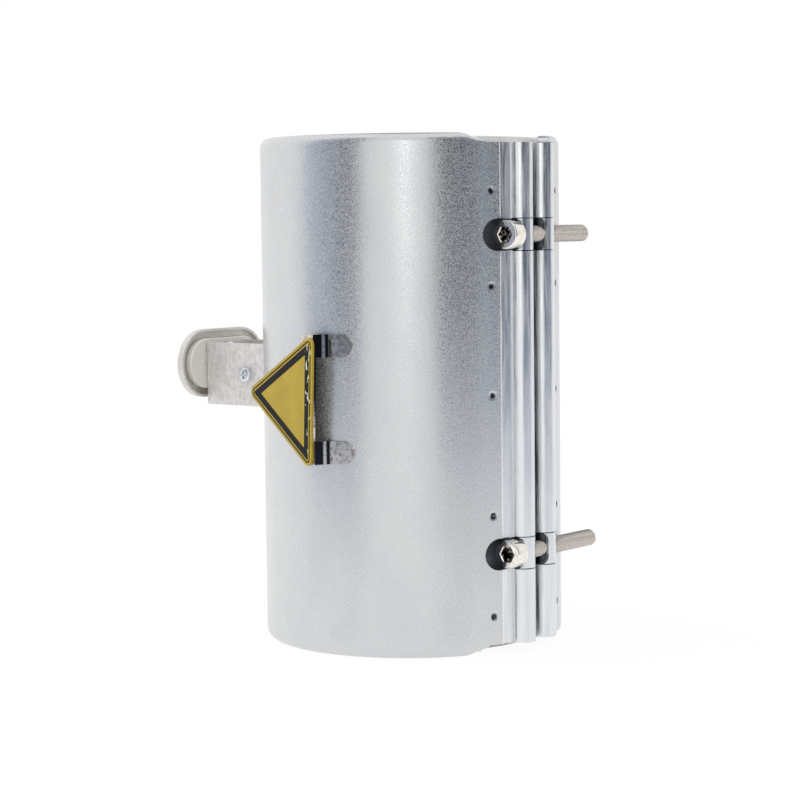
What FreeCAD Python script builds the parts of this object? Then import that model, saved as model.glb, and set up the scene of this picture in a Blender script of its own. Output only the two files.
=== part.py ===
"""Ceramic band heater with a screwed bar closure, a two-stud terminal and a stand-off sign plate.

The band is a rolled sheet jacket around a fibre blanket and rows of ceramic tiles, which carry the
resistance coil. Two clamp strips, each rolled into a loop along one end of the jacket, hold round bars;
two socket-head screws cross the gap between the loops and draw the band tight on a barrel.

Frame: origin at the centre of the bore, +Z along the bore, +X out through the middle of the gap.
The screw heads are on the -Y side of the gap, and the terminal stands on the -X side.
All sizes are in millimetres.
"""

import FreeCAD, Part
import math
import os

V = FreeCAD.Vector

# Band
BORE_RADIUS = 45.0
BAND_LENGTH = 181.0
TILE_THICKNESS = 5.8
BLANKET_THICKNESS = 2.05
LAYER_PLAY = 0.17
JACKET_SHEET = 0.8
SHOULDER_RADIUS = 3.4
LIP_OVER_TILE = 3.8
STACK_END_PLAY = 0.2

# Tiles and heating coil
ROW_COUNT = 7
TILES_PER_ROW = 10
TILE_GAP = 0.2
KNUCKLE_RADIUS = 2.3
COIL_RADIUS = 1.9
COIL_CHANNEL_PLAY = 0.2
RUNS_PER_ROW = 2
JUMPER_RADIUS = 0.8
LEAD_RADIUS = 0.6
LEAD_BEND_SWELL = 1.08
LEAD_CHANNEL_PLAY = 0.12

# Closure, measured across the gap from its middle plane
JACKET_END_HALF = 16.0
RIM_END_HALF = 21.4
WELD_HALF = 20.5
STOP_WALL_HALF = 23.3
JUMPER_HALF = 24.8
TILE_END_HALF = 26.2
LEAF_END_HALF = 28.6
BLANKET_END_HALF = 29.4
WELD_HEIGHTS = (-77.0, -41.8, 0.0, 37.9, 70.7)
WELD_DIMPLE_RADIUS = 1.6
WELD_DIMPLE_DEPTH = 0.35
STRIP_END_SETBACK = 3.3
STRIP_SHEET = 0.8
LOOP_RADIUS = 4.5
LOOP_HALF_PITCH = 6.5
LOOP_SINK = 0.6
LOOP_SEAM = 0.3
SLIT_WIDTH = 0.35
SHIELD_SHEET = 0.5
SHIELD_BORE_PLAY = 1.0
SHIELD_FREE_HALF = 19.0
STOP_LIP_WIDTH = 5.0
FOOT_HALF_LENGTH = 76.0

# Clamp screws and bars
SCREW_RADIUS = 3.0
SCREW_HEAD_RADIUS = 5.0
SCREW_HEAD_LENGTH = 6.0
SCREW_CHAMFER = 0.6
HEX_SOCKET_FLATS = 5.0
HEX_SOCKET_DEPTH = 3.0
CLAMP_SCREWS = {"lower": (-55.5, 46.5), "upper": (55.5, 42.5)}
BAR_PLAY = 0.1
BAR_LENGTH = 24.0
BAR_FLAT_DEPTH = 0.1
SCREW_CLEARANCE = 0.35
THREAD_PLAY = 0.05
POCKET_PLAY = 0.6
POCKET_END_ROOM = 1.1
SLOT_TO_LOOP = 1.5
WINDOW_DEPTH = 1.2

# Terminal bracket, measured out from the bore axis and up from the middle of the band
BRACKET_SHEET = 1.0
BRACKET_REACH = 91.2
BRACKET_WIDTH = 24.0
BRACKET_HEIGHT = 23.8
BRACKET_CENTRE_Z = 2.8
BRACKET_BEND = 1.6
FOOT_HALF_WIDTH = 21.0
FOOT_RIVET_HALF = 16.5
FOOT_RIVET_PITCH = 15.0
RIVET_RADIUS = 1.2
RIVET_HEAD_RADIUS = 2.4
RIVET_HEAD_HEIGHT = 0.9
RIVET_PLAY = 0.05

# Terminal shell, ceramic block and studs
TERMINAL_RISE = 3.6
SHELL_HALF_WIDTH = 23.5
SHELL_HALF_HEIGHT = 13.1
SHELL_WALL = 1.2
SHELL_FLOOR = 1.0
SHELL_DEPTH = 2.9
BLOCK_HALF_WIDTH = 20.0
BLOCK_HALF_HEIGHT = 9.5
BLOCK_THICKNESS = 3.0
COLLAR_RADIUS = 4.6
COLLAR_REACH = 2.8
COLLAR_PLAY = 0.15
STUD_PITCH = 14.0
STUD_RADIUS = 2.0
STUD_CORE_RADIUS = 1.6
STUD_SHOULDER_GAP = 0.2
STUD_FRONT = 6.2
STUD_TAIL = 6.5
STUD_PLAY = 0.05
STUD_CHAMFER = 0.4
STUD_NUT_FLATS = 7.0
STUD_NUT_THICKNESS = 3.2
NUT_HOLE_RADIUS = 4.6
SLEEVE_RADIUS = 1.7
SLEEVE_BORE_PLAY = 0.1
SLEEVE_HOLE_PLAY = 0.25
SLEEVE_END_GAP = 0.9

# Small cross-head screws
SMALL_SCREW_RADIUS = 1.5
SMALL_HEAD_RADIUS = 2.9
SMALL_HEAD_HEIGHT = 2.0
SMALL_HEAD_FILLET = 1.2
SMALL_PLAY = 0.05
CROSS_WIDTH = 0.8
CROSS_SPAN = 3.2
CROSS_DEPTH = 1.1
SMALL_NUT_FLATS = 5.5
SMALL_NUT_THICKNESS = 2.0
SMALL_TIP = 0.8
HOUSING_SCREW_HALF_PITCH = 5.3
EARTH_SCREW_REACH = 70.0

# Sign plate and its bracket
SIGN_ANGLE = -106.3
SIGN_CENTRE_Z = -0.5
SIGN_SLANT = 2.5
SIGN_SIDE = 48.0
SIGN_CORNER = 2.5
SIGN_BASE_OFFSET = 20.4
SIGN_STANDOFF = 1.8
SIGN_SHEET = 0.8
SIGN_BRACKET_SHEET = 0.8
TAB_WIDTH = 8.0
TAB_PITCH = 37.0
TAB_FOOT_START = 20.9
TAB_FOOT_LENGTH = 9.0

# Worked out from the sizes above
HALF_LENGTH = BAND_LENGTH / 2
TILE_OUTER = BORE_RADIUS + TILE_THICKNESS
TILE_MIDDLE = BORE_RADIUS + TILE_THICKNESS / 2
BLANKET_INNER = TILE_OUTER + LAYER_PLAY
BLANKET_OUTER = BLANKET_INNER + BLANKET_THICKNESS
JACKET_INNER = BLANKET_OUTER + LAYER_PLAY
JACKET_OUTER = JACKET_INNER + JACKET_SHEET
STACK_HALF = HALF_LENGTH - JACKET_SHEET - STACK_END_PLAY
ROW_PITCH = (2 * STACK_HALF + TILE_GAP) / ROW_COUNT
TILE_HEIGHT = ROW_PITCH - TILE_GAP
STRIP_HALF_LENGTH = HALF_LENGTH - STRIP_END_SETBACK
LEAF_INNER = JACKET_INNER - STRIP_SHEET
LOOP_X = JACKET_OUTER - LOOP_SINK
LOOP_INNER = LOOP_RADIUS - STRIP_SHEET
BAR_RADIUS = LOOP_INNER - BAR_PLAY
SEAT_Y = -(LOOP_HALF_PITCH + BAR_RADIUS - BAR_FLAT_DEPTH)
POCKET_RADIUS = SCREW_HEAD_RADIUS + POCKET_PLAY
TERMINAL_Z = BRACKET_CENTRE_Z + TERMINAL_RISE
BLOCK_FRONT = BRACKET_REACH + BLOCK_THICKNESS
SHELL_BACK = BLOCK_FRONT + SHELL_FLOOR
COLLAR_FRONT = SHELL_BACK + COLLAR_REACH
STUD_TIP = COLLAR_FRONT + STUD_FRONT
STUD_END = BRACKET_REACH - STUD_TAIL
HOUSING_SCREW_HEIGHTS = (TERMINAL_Z - HOUSING_SCREW_HALF_PITCH, TERMINAL_Z + HOUSING_SCREW_HALF_PITCH)
HOUSING_SCREW_LENGTH = SHELL_BACK + SMALL_NUT_THICKNESS + SMALL_TIP - BRACKET_REACH + BRACKET_SHEET
LEAD_LAYER = TILE_OUTER + LAYER_PLAY + LEAD_RADIUS
SIGN_BACK = JACKET_OUTER + SIGN_STANDOFF

AXIS_X = V(1, 0, 0)
AXIS_Y = V(0, 1, 0)
AXIS_Z = V(0, 0, 1)
ORIGIN = V(0, 0, 0)


def angle_at(half_width, radius=JACKET_OUTER):
    """Angle in degrees from the gap's middle plane to a point half_width from it on a radius."""
    return math.degrees(math.asin(half_width / radius))


def polar(radius, degrees, z=0.0):
    """Point at a radius, an angle from +X and a height."""
    turn = math.radians(degrees)
    return V(radius * math.cos(turn), radius * math.sin(turn), z)


def turned(shape, degrees):
    """Copy of a shape, turned about the bore axis."""
    copy = shape.copy()
    copy.rotate(ORIGIN, AXIS_Z, degrees)
    return copy


def sector(inner, outer, bottom, top, start, end):
    """Piece of a tube between two angles."""
    corners = [V(inner, 0, bottom), V(outer, 0, bottom), V(outer, 0, top), V(inner, 0, top)]
    face = Part.Face(Part.makePolygon([*corners, corners[0]]))
    return turned(face.revolve(ORIGIN, AXIS_Z, end - start), start)


def rod_arc(path_radius, rod_radius, z, start, end):
    """Round rod bent round the bore axis between two angles."""
    circle = Part.Wire(Part.makeCircle(rod_radius, V(path_radius, 0, z), AXIS_Y))
    return turned(Part.Face(circle).revolve(ORIGIN, AXIS_Z, end - start), start)


def rod(radius, start, end):
    """Round rod between two points."""
    along = end - start
    return Part.makeCylinder(radius, along.Length, start, along)


def block(x_range, y_range, z_range):
    """Rectangular block from its three ranges."""
    size = [high - low for low, high in (x_range, y_range, z_range)]
    return Part.makeBox(*size, V(x_range[0], y_range[0], z_range[0]))


def hexagon(flats, start, end):
    """Hexagonal prism between two points, across its flats."""
    along = end - start
    corner = flats / 2 / math.cos(math.radians(30))
    corners = [polar(corner, degrees) for degrees in range(0, 361, 60)]
    prism = Part.Face(Part.makePolygon(corners)).extrude(V(0, 0, along.Length))
    prism.Placement = FreeCAD.Placement(start, FreeCAD.Rotation(AXIS_Z, along))
    return prism


def stadium(half_width, half_height, start, end):
    """Prism along -X with flat top and bottom and half-round ends, between two distances from the axis."""
    straight = half_width - half_height
    z_low, z_high = TERMINAL_Z - half_height, TERMINAL_Z + half_height
    edges = [
        Part.makeLine(V(0, -straight, z_low), V(0, straight, z_low)),
        Part.Arc(V(0, straight, z_low), V(0, half_width, TERMINAL_Z), V(0, straight, z_high)).toShape(),
        Part.makeLine(V(0, straight, z_high), V(0, -straight, z_high)),
        Part.Arc(V(0, -straight, z_high), V(0, -half_width, TERMINAL_Z), V(0, -straight, z_low)).toShape(),
    ]
    prism = Part.Face(Part.Wire(edges)).extrude(V(start - end, 0, 0))
    prism.translate(V(-start, 0, 0))
    return prism


def joined(shapes):
    """One clean solid from overlapping or touching shapes."""
    shapes = list(shapes)
    return shapes[0].multiFuse(shapes[1:]).removeSplitter()


def mirrored(shape):
    """The same shape on the other side of the gap's middle plane."""
    return shape.mirror(ORIGIN, AXIS_Y)


def head_slot(z, near_y):
    """Round-ended slot, punched straight through the sheet, that a screw head lies in."""
    end_y = SEAT_Y - SCREW_HEAD_LENGTH - POCKET_END_ROOM
    through = (LOOP_X - 2 * LOOP_RADIUS, LOOP_X + 2 * LOOP_RADIUS)
    straight = block(through, (end_y, near_y), (z - POCKET_RADIUS, z + POCKET_RADIUS))
    return straight.fuse(rod(POCKET_RADIUS, V(LOOP_X - 2 * LOOP_RADIUS, end_y, z), V(LOOP_X, end_y, z)))


def head_pocket(z):
    """Round pocket in the loop, down to the bar's flat, for a screw head."""
    return rod(POCKET_RADIUS, V(LOOP_X, SEAT_Y + BAR_FLAT_DEPTH, z), V(LOOP_X, -JACKET_END_HALF, z))


def screw_hole(z, radius, start_y, end_y):
    """Round hole along a clamp screw's axis."""
    return rod(radius, V(LOOP_X, start_y, z), V(LOOP_X, end_y, z))


def weld_dimple(radius, degrees, z):
    """Ball that presses a shallow spot-weld mark into a surface of that radius."""
    centre = polar(radius + WELD_DIMPLE_RADIUS - WELD_DIMPLE_DEPTH, degrees, z)
    return Part.makeSphere(WELD_DIMPLE_RADIUS, centre)


def rim_section(side):
    """Section of the jacket's rolled rim: a rounded shoulder and a flat lip over the tiles' ends."""
    lip = TILE_OUTER - LIP_OVER_TILE
    end, inner_end = side * HALF_LENGTH, side * (HALF_LENGTH - JACKET_SHEET)
    shoulder = side * (HALF_LENGTH - SHOULDER_RADIUS)
    bend_x = JACKET_OUTER - SHOULDER_RADIUS
    inner_radius = SHOULDER_RADIUS - JACKET_SHEET
    slant = math.sqrt(0.5)

    def on_bend(radius):
        return V(bend_x + radius * slant, 0, shoulder + side * radius * slant)

    outer_bend = Part.Arc(V(JACKET_OUTER, 0, shoulder), on_bend(SHOULDER_RADIUS), V(bend_x, 0, end))
    inner_bend = Part.Arc(V(bend_x, 0, inner_end), on_bend(inner_radius), V(JACKET_INNER, 0, shoulder))
    edges = [
        outer_bend.toShape(),
        Part.makeLine(V(bend_x, 0, end), V(lip, 0, end)),
        Part.makeLine(V(lip, 0, end), V(lip, 0, inner_end)),
        Part.makeLine(V(lip, 0, inner_end), V(bend_x, 0, inner_end)),
        inner_bend.toShape(),
        Part.makeLine(V(JACKET_INNER, 0, shoulder), V(JACKET_OUTER, 0, shoulder)),
    ]
    return Part.Face(Part.Wire(edges))


def outer_jacket():
    """Rolled sheet jacket with a turned-in rim at each end, cut back near the gap."""
    jacket_end, rim_end = angle_at(JACKET_END_HALF), angle_at(RIM_END_HALF)
    shoulder = HALF_LENGTH - SHOULDER_RADIUS
    wall = sector(JACKET_INNER, JACKET_OUTER, -shoulder, shoulder, rim_end, 360 - rim_end)
    rims = [turned(rim_section(side).revolve(ORIGIN, AXIS_Z, 360 - 2 * rim_end), rim_end) for side in (-1, 1)]
    tail = sector(JACKET_INNER, JACKET_OUTER, -STRIP_HALF_LENGTH, STRIP_HALF_LENGTH, jacket_end, rim_end)
    jacket = joined([wall, *rims, tail, mirrored(tail)])
    welds = angle_at(WELD_HALF)
    cuts = [weld_dimple(JACKET_OUTER, angle, z) for angle in (-welds, welds) for z in WELD_HEIGHTS]
    for z, _ in CLAMP_SCREWS.values():
        cuts.append(head_slot(z, SEAT_Y))
        cuts.append(screw_hole(z, SCREW_RADIUS + SCREW_CLEARANCE, LOOP_HALF_PITCH, STOP_WALL_HALF))
    cuts += [rod(SLEEVE_RADIUS + SLEEVE_HOLE_PLAY, start, end) for start, end in lead_holes()]
    cuts += [rod(RIVET_RADIUS + RIVET_PLAY, start, end) for start, end in rivet_axes()]
    return jacket.cut(cuts)


def lead_holes():
    """Start and end points of the two straight lead holes, through the blanket and the jacket."""
    for side in (-1, 1):
        y = side * STUD_PITCH / 2
        yield V(-TILE_OUTER, y, TERMINAL_Z), V(-JACKET_OUTER - BRACKET_SHEET, y, TERMINAL_Z)


def rivet_axes():
    """Ends of the rivets' shanks, from inside the jacket to the outside of the bracket's feet."""
    for side in (-1, 1):
        for step in (-0.5, 0.5):
            z = BRACKET_CENTRE_Z + step * FOOT_RIVET_PITCH
            angle = 180 + side * angle_at(FOOT_RIVET_HALF)
            yield polar(JACKET_INNER, angle, z), polar(JACKET_OUTER + BRACKET_SHEET, angle, z)


def insulation_blanket():
    """Fibre blanket between the tiles and the jacket, with channels for the two leads."""
    end = angle_at(BLANKET_END_HALF)
    top = HALF_LENGTH - SHOULDER_RADIUS
    blanket = sector(BLANKET_INNER, BLANKET_OUTER, -top, top, end, 360 - end)
    channels = [lead_layer(side, LEAD_RADIUS + LEAD_CHANNEL_PLAY) for side in (-1, 1)]
    holes = [rod(SLEEVE_RADIUS + SLEEVE_HOLE_PLAY, start, finish) for start, finish in lead_holes()]
    return blanket.cut(channels + holes)


def row_centres():
    """Heights of the middle of each tile row, from the bottom."""
    return [(row - (ROW_COUNT - 1) / 2) * ROW_PITCH for row in range(ROW_COUNT)]


def run_heights():
    """Heights of the coil's runs, from the bottom."""
    pitch = ROW_PITCH / RUNS_PER_ROW
    steps = [(run - (RUNS_PER_ROW - 1) / 2) * pitch for run in range(RUNS_PER_ROW)]
    return [centre + step for centre in row_centres() for step in steps]


def tile_row(row):
    """One ring of ceramic tiles that hook into each other like knuckles, with channels for the coil."""
    centre = row_centres()[row]
    bottom, top = centre - TILE_HEIGHT / 2, centre + TILE_HEIGHT / 2
    end = angle_at(TILE_END_HALF)
    pitch = (360 - 2 * end) / TILES_PER_ROW
    gap = math.degrees(TILE_GAP / TILE_OUTER)
    heights = [z for z in run_heights() if bottom < z < top]
    channels = [rod_arc(TILE_MIDDLE, COIL_RADIUS + COIL_CHANNEL_PLAY, z, 0, 360) for z in heights]
    tiles = []
    for place in range(TILES_PER_ROW):
        start = end + place * pitch
        finish = start + pitch - (gap if place < TILES_PER_ROW - 1 else 0)
        tile = sector(BORE_RADIUS, TILE_OUTER, bottom, top, start, finish)
        if place < TILES_PER_ROW - 1:
            knuckle = polar(TILE_MIDDLE, finish, bottom), polar(TILE_MIDDLE, finish, top)
            tile = tile.fuse(rod(KNUCKLE_RADIUS, *knuckle))
        if place:
            hollow = polar(TILE_MIDDLE, start - gap, bottom), polar(TILE_MIDDLE, start - gap, top)
            tile = tile.cut(rod(KNUCKLE_RADIUS + TILE_GAP, *hollow))
        tiles.append(tile.cut(channels).removeSplitter())
    return Part.makeCompound(tiles)


def heating_coil():
    """One coiled wire, drawn at its coils' outer size, that runs round the band to and fro."""
    reach = angle_at(JUMPER_HALF)
    heights = run_heights()
    pieces = [rod_arc(TILE_MIDDLE, COIL_RADIUS, z, reach, 360 - reach) for z in heights]
    for step, (low, high) in enumerate(zip(heights, heights[1:])):
        angle = reach if step % 2 == 0 else -reach
        pieces.append(rod(JUMPER_RADIUS, polar(TILE_MIDDLE, angle, low), polar(TILE_MIDDLE, angle, high)))
    return joined(pieces)


def lead_layer(side, radius):
    """The part of a lead that lies behind the tiles: round the band, then along it to the terminal."""
    height = run_heights()[0] if side < 0 else run_heights()[-1]
    start = -angle_at(JUMPER_HALF)
    end = -180 - side * angle_at(STUD_PITCH / 2, LEAD_LAYER)
    corner, exit_point = polar(LEAD_LAYER, end, height), polar(LEAD_LAYER, end, TERMINAL_Z)
    pieces = [
        rod_arc(LEAD_LAYER, radius, height, end, start),
        rod(radius, corner, exit_point),
        Part.makeSphere(radius * LEAD_BEND_SWELL, corner),
        Part.makeSphere(radius * LEAD_BEND_SWELL, exit_point),
    ]
    return pieces[0].multiFuse(pieces[1:])


def lead_wire(side):
    """Lead from one end of the coil, behind the tiles, out through the jacket and on to its pin."""
    height = run_heights()[0] if side < 0 else run_heights()[-1]
    start = -angle_at(JUMPER_HALF)
    angle = -180 - side * angle_at(STUD_PITCH / 2, LEAD_LAYER)
    exit_point = polar(LEAD_LAYER, angle, TERMINAL_Z)
    coil_side = polar(TILE_MIDDLE + COIL_RADIUS, start, height)
    pieces = [
        lead_layer(side, LEAD_RADIUS),
        rod(LEAD_RADIUS, coil_side, polar(LEAD_LAYER, start, height)),
        Part.makeSphere(LEAD_RADIUS * LEAD_BEND_SWELL, polar(LEAD_LAYER, start, height)),
        rod(LEAD_RADIUS, exit_point, V(-STUD_END, exit_point.y, TERMINAL_Z)),
    ]
    return joined(pieces).cut(rod_arc(TILE_MIDDLE, COIL_RADIUS, height, start - 90, start + 90))


def lead_sleeve(side):
    """Ceramic sleeve that carries a lead through the jacket and across the bracket."""
    y = side * STUD_PITCH / 2
    start, end = V(-BLANKET_OUTER, y, TERMINAL_Z), V(-STUD_END + SLEEVE_END_GAP, y, TERMINAL_Z)
    return rod(SLEEVE_RADIUS, start, end).cut(rod(LEAD_RADIUS + SLEEVE_BORE_PLAY, start, end))


def gap_shield():
    """Thin sheet that closes the gap inside the band: welded under one strip, free to slide at the other."""
    inner = BORE_RADIUS + SHIELD_BORE_PLAY
    wall = -angle_at(STOP_WALL_HALF)
    wall_turn = math.degrees(SHIELD_SHEET / inner)
    arc = sector(inner, inner + SHIELD_SHEET, -STACK_HALF, STACK_HALF, wall, angle_at(SHIELD_FREE_HALF))
    upright = sector(inner, LEAF_INNER, -STACK_HALF, STACK_HALF, wall, wall + wall_turn)
    upright = upright.cut(rim_relief())
    return joined([arc, upright, leaf_foot(-angle_at(LEAF_END_HALF), wall)])


def leaf_foot(start, end):
    """Foot of an inner sheet, welded under a strip's leaf between two angles."""
    return sector(LEAF_INNER - SHIELD_SHEET, LEAF_INNER, -FOOT_HALF_LENGTH, FOOT_HALF_LENGTH, start, end)


def tile_stop():
    """Angle under the other strip that ends the tile rows and guides the shield's free edge."""
    lip_inner = BORE_RADIUS + SHIELD_BORE_PLAY + SHIELD_SHEET + TILE_GAP
    wall = angle_at(STOP_WALL_HALF)
    wall_turn = math.degrees(SHIELD_SHEET / lip_inner)
    lip_turn = math.degrees(STOP_LIP_WIDTH / lip_inner)
    upright = sector(lip_inner, LEAF_INNER, -STACK_HALF, STACK_HALF, wall - wall_turn, wall)
    upright = upright.cut(rim_relief())
    lip = sector(lip_inner, lip_inner + SHIELD_SHEET, -STACK_HALF, STACK_HALF, wall - lip_turn, wall)
    return joined([upright, lip, leaf_foot(wall, angle_at(LEAF_END_HALF))])


def rim_relief():
    """Rings that keep sheet clear of the inside of the jacket's rounded shoulders."""
    bend_x = JACKET_OUTER - SHOULDER_RADIUS
    reach = HALF_LENGTH - SHOULDER_RADIUS
    keep = Part.makeCylinder(bend_x, BAND_LENGTH, V(0, 0, -HALF_LENGTH))
    middle = Part.makeCylinder(JACKET_OUTER, 2 * reach, V(0, 0, -reach))
    return Part.makeCylinder(JACKET_OUTER, BAND_LENGTH, V(0, 0, -HALF_LENGTH)).cut([keep, middle])


def clamp_strip_blank():
    """Sheet strip on the -Y side: a leaf under the jacket, rolled at the gap into a loop for the bars."""
    leaf_turn = -angle_at(JACKET_END_HALF)
    leaf = sector(LEAF_INNER, JACKET_INNER, 0, 2 * STRIP_HALF_LENGTH, -angle_at(LEAF_END_HALF), leaf_turn)
    loop_centre = V(LOOP_X, -LOOP_HALF_PITCH, 0)
    loop = Part.makeCylinder(LOOP_RADIUS, 2 * STRIP_HALF_LENGTH, loop_centre)
    hollow = Part.makeCylinder(LOOP_INNER, 2 * STRIP_HALF_LENGTH, loop_centre)
    leaf_inner, leaf_outer = polar(LEAF_INNER, leaf_turn), polar(JACKET_INNER, leaf_turn)
    forward = polar(1, leaf_turn + 90)
    reach = (loop_centre - leaf_outer).Length
    corners = [leaf_inner, leaf_outer, leaf_outer + forward * reach, leaf_inner + forward * reach, leaf_inner]
    bridge = Part.Face(Part.makePolygon(corners)).extrude(V(0, 0, 2 * STRIP_HALF_LENGTH))
    seam_start = leaf_inner + forward * (reach - LOOP_RADIUS)
    inward = polar(1, leaf_turn + 180)
    seam = [seam_start, seam_start + inward * LOOP_SEAM]
    seam = [*seam, seam[1] + forward * LOOP_RADIUS, seam_start + forward * LOOP_RADIUS, seam_start]
    seam_cut = Part.Face(Part.makePolygon(seam)).extrude(V(0, 0, 2 * STRIP_HALF_LENGTH))
    strip = joined([leaf, bridge.cut(hollow), loop.cut([hollow, seam_cut])])
    strip.translate(V(0, 0, -STRIP_HALF_LENGTH))
    return strip.cut(hollow.translated(V(0, 0, -STRIP_HALF_LENGTH)))


def relief_slits():
    """Thin cuts across the outer half of a loop, above and below each screw."""
    y_range = (-LOOP_HALF_PITCH - LOOP_RADIUS, -LOOP_HALF_PITCH + LOOP_RADIUS)
    for z, _ in CLAMP_SCREWS.values():
        for middle in (z - POCKET_RADIUS, z + POCKET_RADIUS):
            z_range = (middle - SLIT_WIDTH / 2, middle + SLIT_WIDTH / 2)
            yield block((LOOP_X, LOOP_X + LOOP_RADIUS), y_range, z_range)


def head_side_strip():
    """Clamp strip with the slots and pockets that the screw heads lie in."""
    cuts = list(relief_slits())
    slot_end = -(LOOP_HALF_PITCH + LOOP_RADIUS + SLOT_TO_LOOP)
    for z, _ in CLAMP_SCREWS.values():
        cuts.append(head_slot(z, slot_end))
        cuts.append(head_pocket(z))
        cuts.append(screw_hole(z, SCREW_RADIUS + SCREW_CLEARANCE, SEAT_Y, 0))
    return clamp_strip_blank().cut(cuts)


def nut_side_strip():
    """Clamp strip whose loop is cut open towards the gap, where the screws go in."""
    cuts = [mirrored(slit) for slit in relief_slits()]
    window_floor = LOOP_HALF_PITCH - LOOP_RADIUS + WINDOW_DEPTH
    for z, _ in CLAMP_SCREWS.values():
        cuts.append(rod(POCKET_RADIUS, V(LOOP_X, 0, z), V(LOOP_X, window_floor, z)))
        cuts.append(screw_hole(z, SCREW_RADIUS + SCREW_CLEARANCE, 0, STOP_WALL_HALF))
    return mirrored(clamp_strip_blank()).cut(cuts)


def clamp_bar(side, z, hole_radius):
    """Round bar in a loop, with a cross hole for its screw and a flat for the head on the -Y side."""
    y = side * LOOP_HALF_PITCH
    bar = Part.makeCylinder(BAR_RADIUS, BAR_LENGTH, V(LOOP_X, y, z - BAR_LENGTH / 2))
    cuts = [screw_hole(z, hole_radius, y - LOOP_RADIUS, y + LOOP_RADIUS)]
    if side < 0:
        cuts.append(screw_hole(z, POCKET_RADIUS, y - LOOP_RADIUS, SEAT_Y))
    return bar.cut(cuts)


def clamp_screw(z, length):
    """Socket-head cap screw; its thread is left plain at the thread's outer size."""
    seat = V(LOOP_X, SEAT_Y, z)
    face = seat - AXIS_Y * SCREW_HEAD_LENGTH
    head = rod(SCREW_HEAD_RADIUS, face, seat)
    face_edges = [e for e in head.Edges if e.BoundBox.YMax < face.y + SCREW_CHAMFER]
    head = head.makeChamfer(SCREW_CHAMFER, face_edges)
    tip = seat + AXIS_Y * length
    shank = rod(SCREW_RADIUS, seat, tip)
    tip_edges = [e for e in shank.Edges if e.BoundBox.YMin > tip.y - SCREW_CHAMFER]
    shank = shank.makeChamfer(SCREW_CHAMFER, tip_edges)
    return joined([head, shank]).cut(hexagon(HEX_SOCKET_FLATS, face, face + AXIS_Y * HEX_SOCKET_DEPTH))


def pan_screw(head_base, direction, length):
    """Small pan-head screw with a cross recess; its shank points along direction."""
    top = head_base - direction * SMALL_HEAD_HEIGHT
    head = rod(SMALL_HEAD_RADIUS, top, head_base)
    rims = [e for e in head.Edges if len(e.Vertexes) == 1]
    top_edges = [e for e in rims if (e.CenterOfMass - top).Length < SMALL_HEAD_FILLET]
    head = head.makeFillet(SMALL_HEAD_FILLET, top_edges)
    shank = rod(SMALL_SCREW_RADIUS, head_base, head_base + direction * length)
    across = direction.cross(AXIS_Z)
    cuts = []
    for arm in (across, AXIS_Z):
        other = direction.cross(arm)
        corner = top - arm * (CROSS_SPAN / 2) - other * (CROSS_WIDTH / 2) - direction * SMALL_HEAD_HEIGHT
        sides = [corner, corner + arm * CROSS_SPAN]
        sides += [sides[1] + other * CROSS_WIDTH, corner + other * CROSS_WIDTH, corner]
        cuts.append(Part.Face(Part.makePolygon(sides)).extrude(direction * (SMALL_HEAD_HEIGHT + CROSS_DEPTH)))
    return joined([head, shank]).cut(cuts)


def terminal_bracket():
    """Hat-shaped folded bracket: two curved feet on the jacket, two sides and an end plate."""
    half_width, half_height = BRACKET_WIDTH / 2, BRACKET_HEIGHT / 2
    z_range = (BRACKET_CENTRE_Z - half_height, BRACKET_CENTRE_Z + half_height)
    box = block((-BRACKET_REACH, 0), (-half_width, half_width), z_range)
    near_end = -BRACKET_REACH + 2 * BRACKET_SHEET
    box = box.makeFillet(BRACKET_BEND, [e for e in box.Edges if e.BoundBox.XMax < near_end and vertical(e)])
    inner = half_width - BRACKET_SHEET
    hollow = block((-BRACKET_REACH + BRACKET_SHEET, BRACKET_SHEET), (-inner, inner), z_range)
    inner_edges = [e for e in hollow.Edges if e.BoundBox.XMax < near_end and vertical(e)]
    hollow = hollow.makeFillet(BRACKET_BEND - BRACKET_SHEET, inner_edges)
    within = Part.makeCylinder(JACKET_OUTER, BRACKET_HEIGHT, V(0, 0, z_range[0]))
    body = box.cut([hollow, within])
    foot_in, foot_out = angle_at(inner), angle_at(FOOT_HALF_WIDTH)
    outer = JACKET_OUTER + BRACKET_SHEET
    feet = [sector(JACKET_OUTER, outer, *z_range, 180 + foot_in, 180 + foot_out)]
    feet.append(mirrored(feet[0]))
    bracket = joined([body, *feet])
    cuts = [rod(RIVET_RADIUS + RIVET_PLAY, start, end) for start, end in rivet_axes()]
    end_plate = (-BRACKET_REACH - BRACKET_SHEET, near_end)
    for side in (-1, 1):
        y = side * STUD_PITCH / 2
        cuts.append(rod(NUT_HOLE_RADIUS, V(end_plate[0], y, TERMINAL_Z), V(end_plate[1], y, TERMINAL_Z)))
    for z in HOUSING_SCREW_HEIGHTS:
        cuts.append(rod(SMALL_SCREW_RADIUS + SMALL_PLAY, V(end_plate[0], 0, z), V(end_plate[1], 0, z)))
    side_wall = V(-EARTH_SCREW_REACH, -half_width, BRACKET_CENTRE_Z)
    cuts.append(rod(SMALL_SCREW_RADIUS + SMALL_PLAY, side_wall, side_wall + AXIS_Y * BRACKET_SHEET))
    return bracket.cut(cuts)


def vertical(edge):
    """True if an edge runs straight up."""
    bounds = edge.BoundBox
    return bounds.XLength < 1e-6 and bounds.YLength < 1e-6


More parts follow.
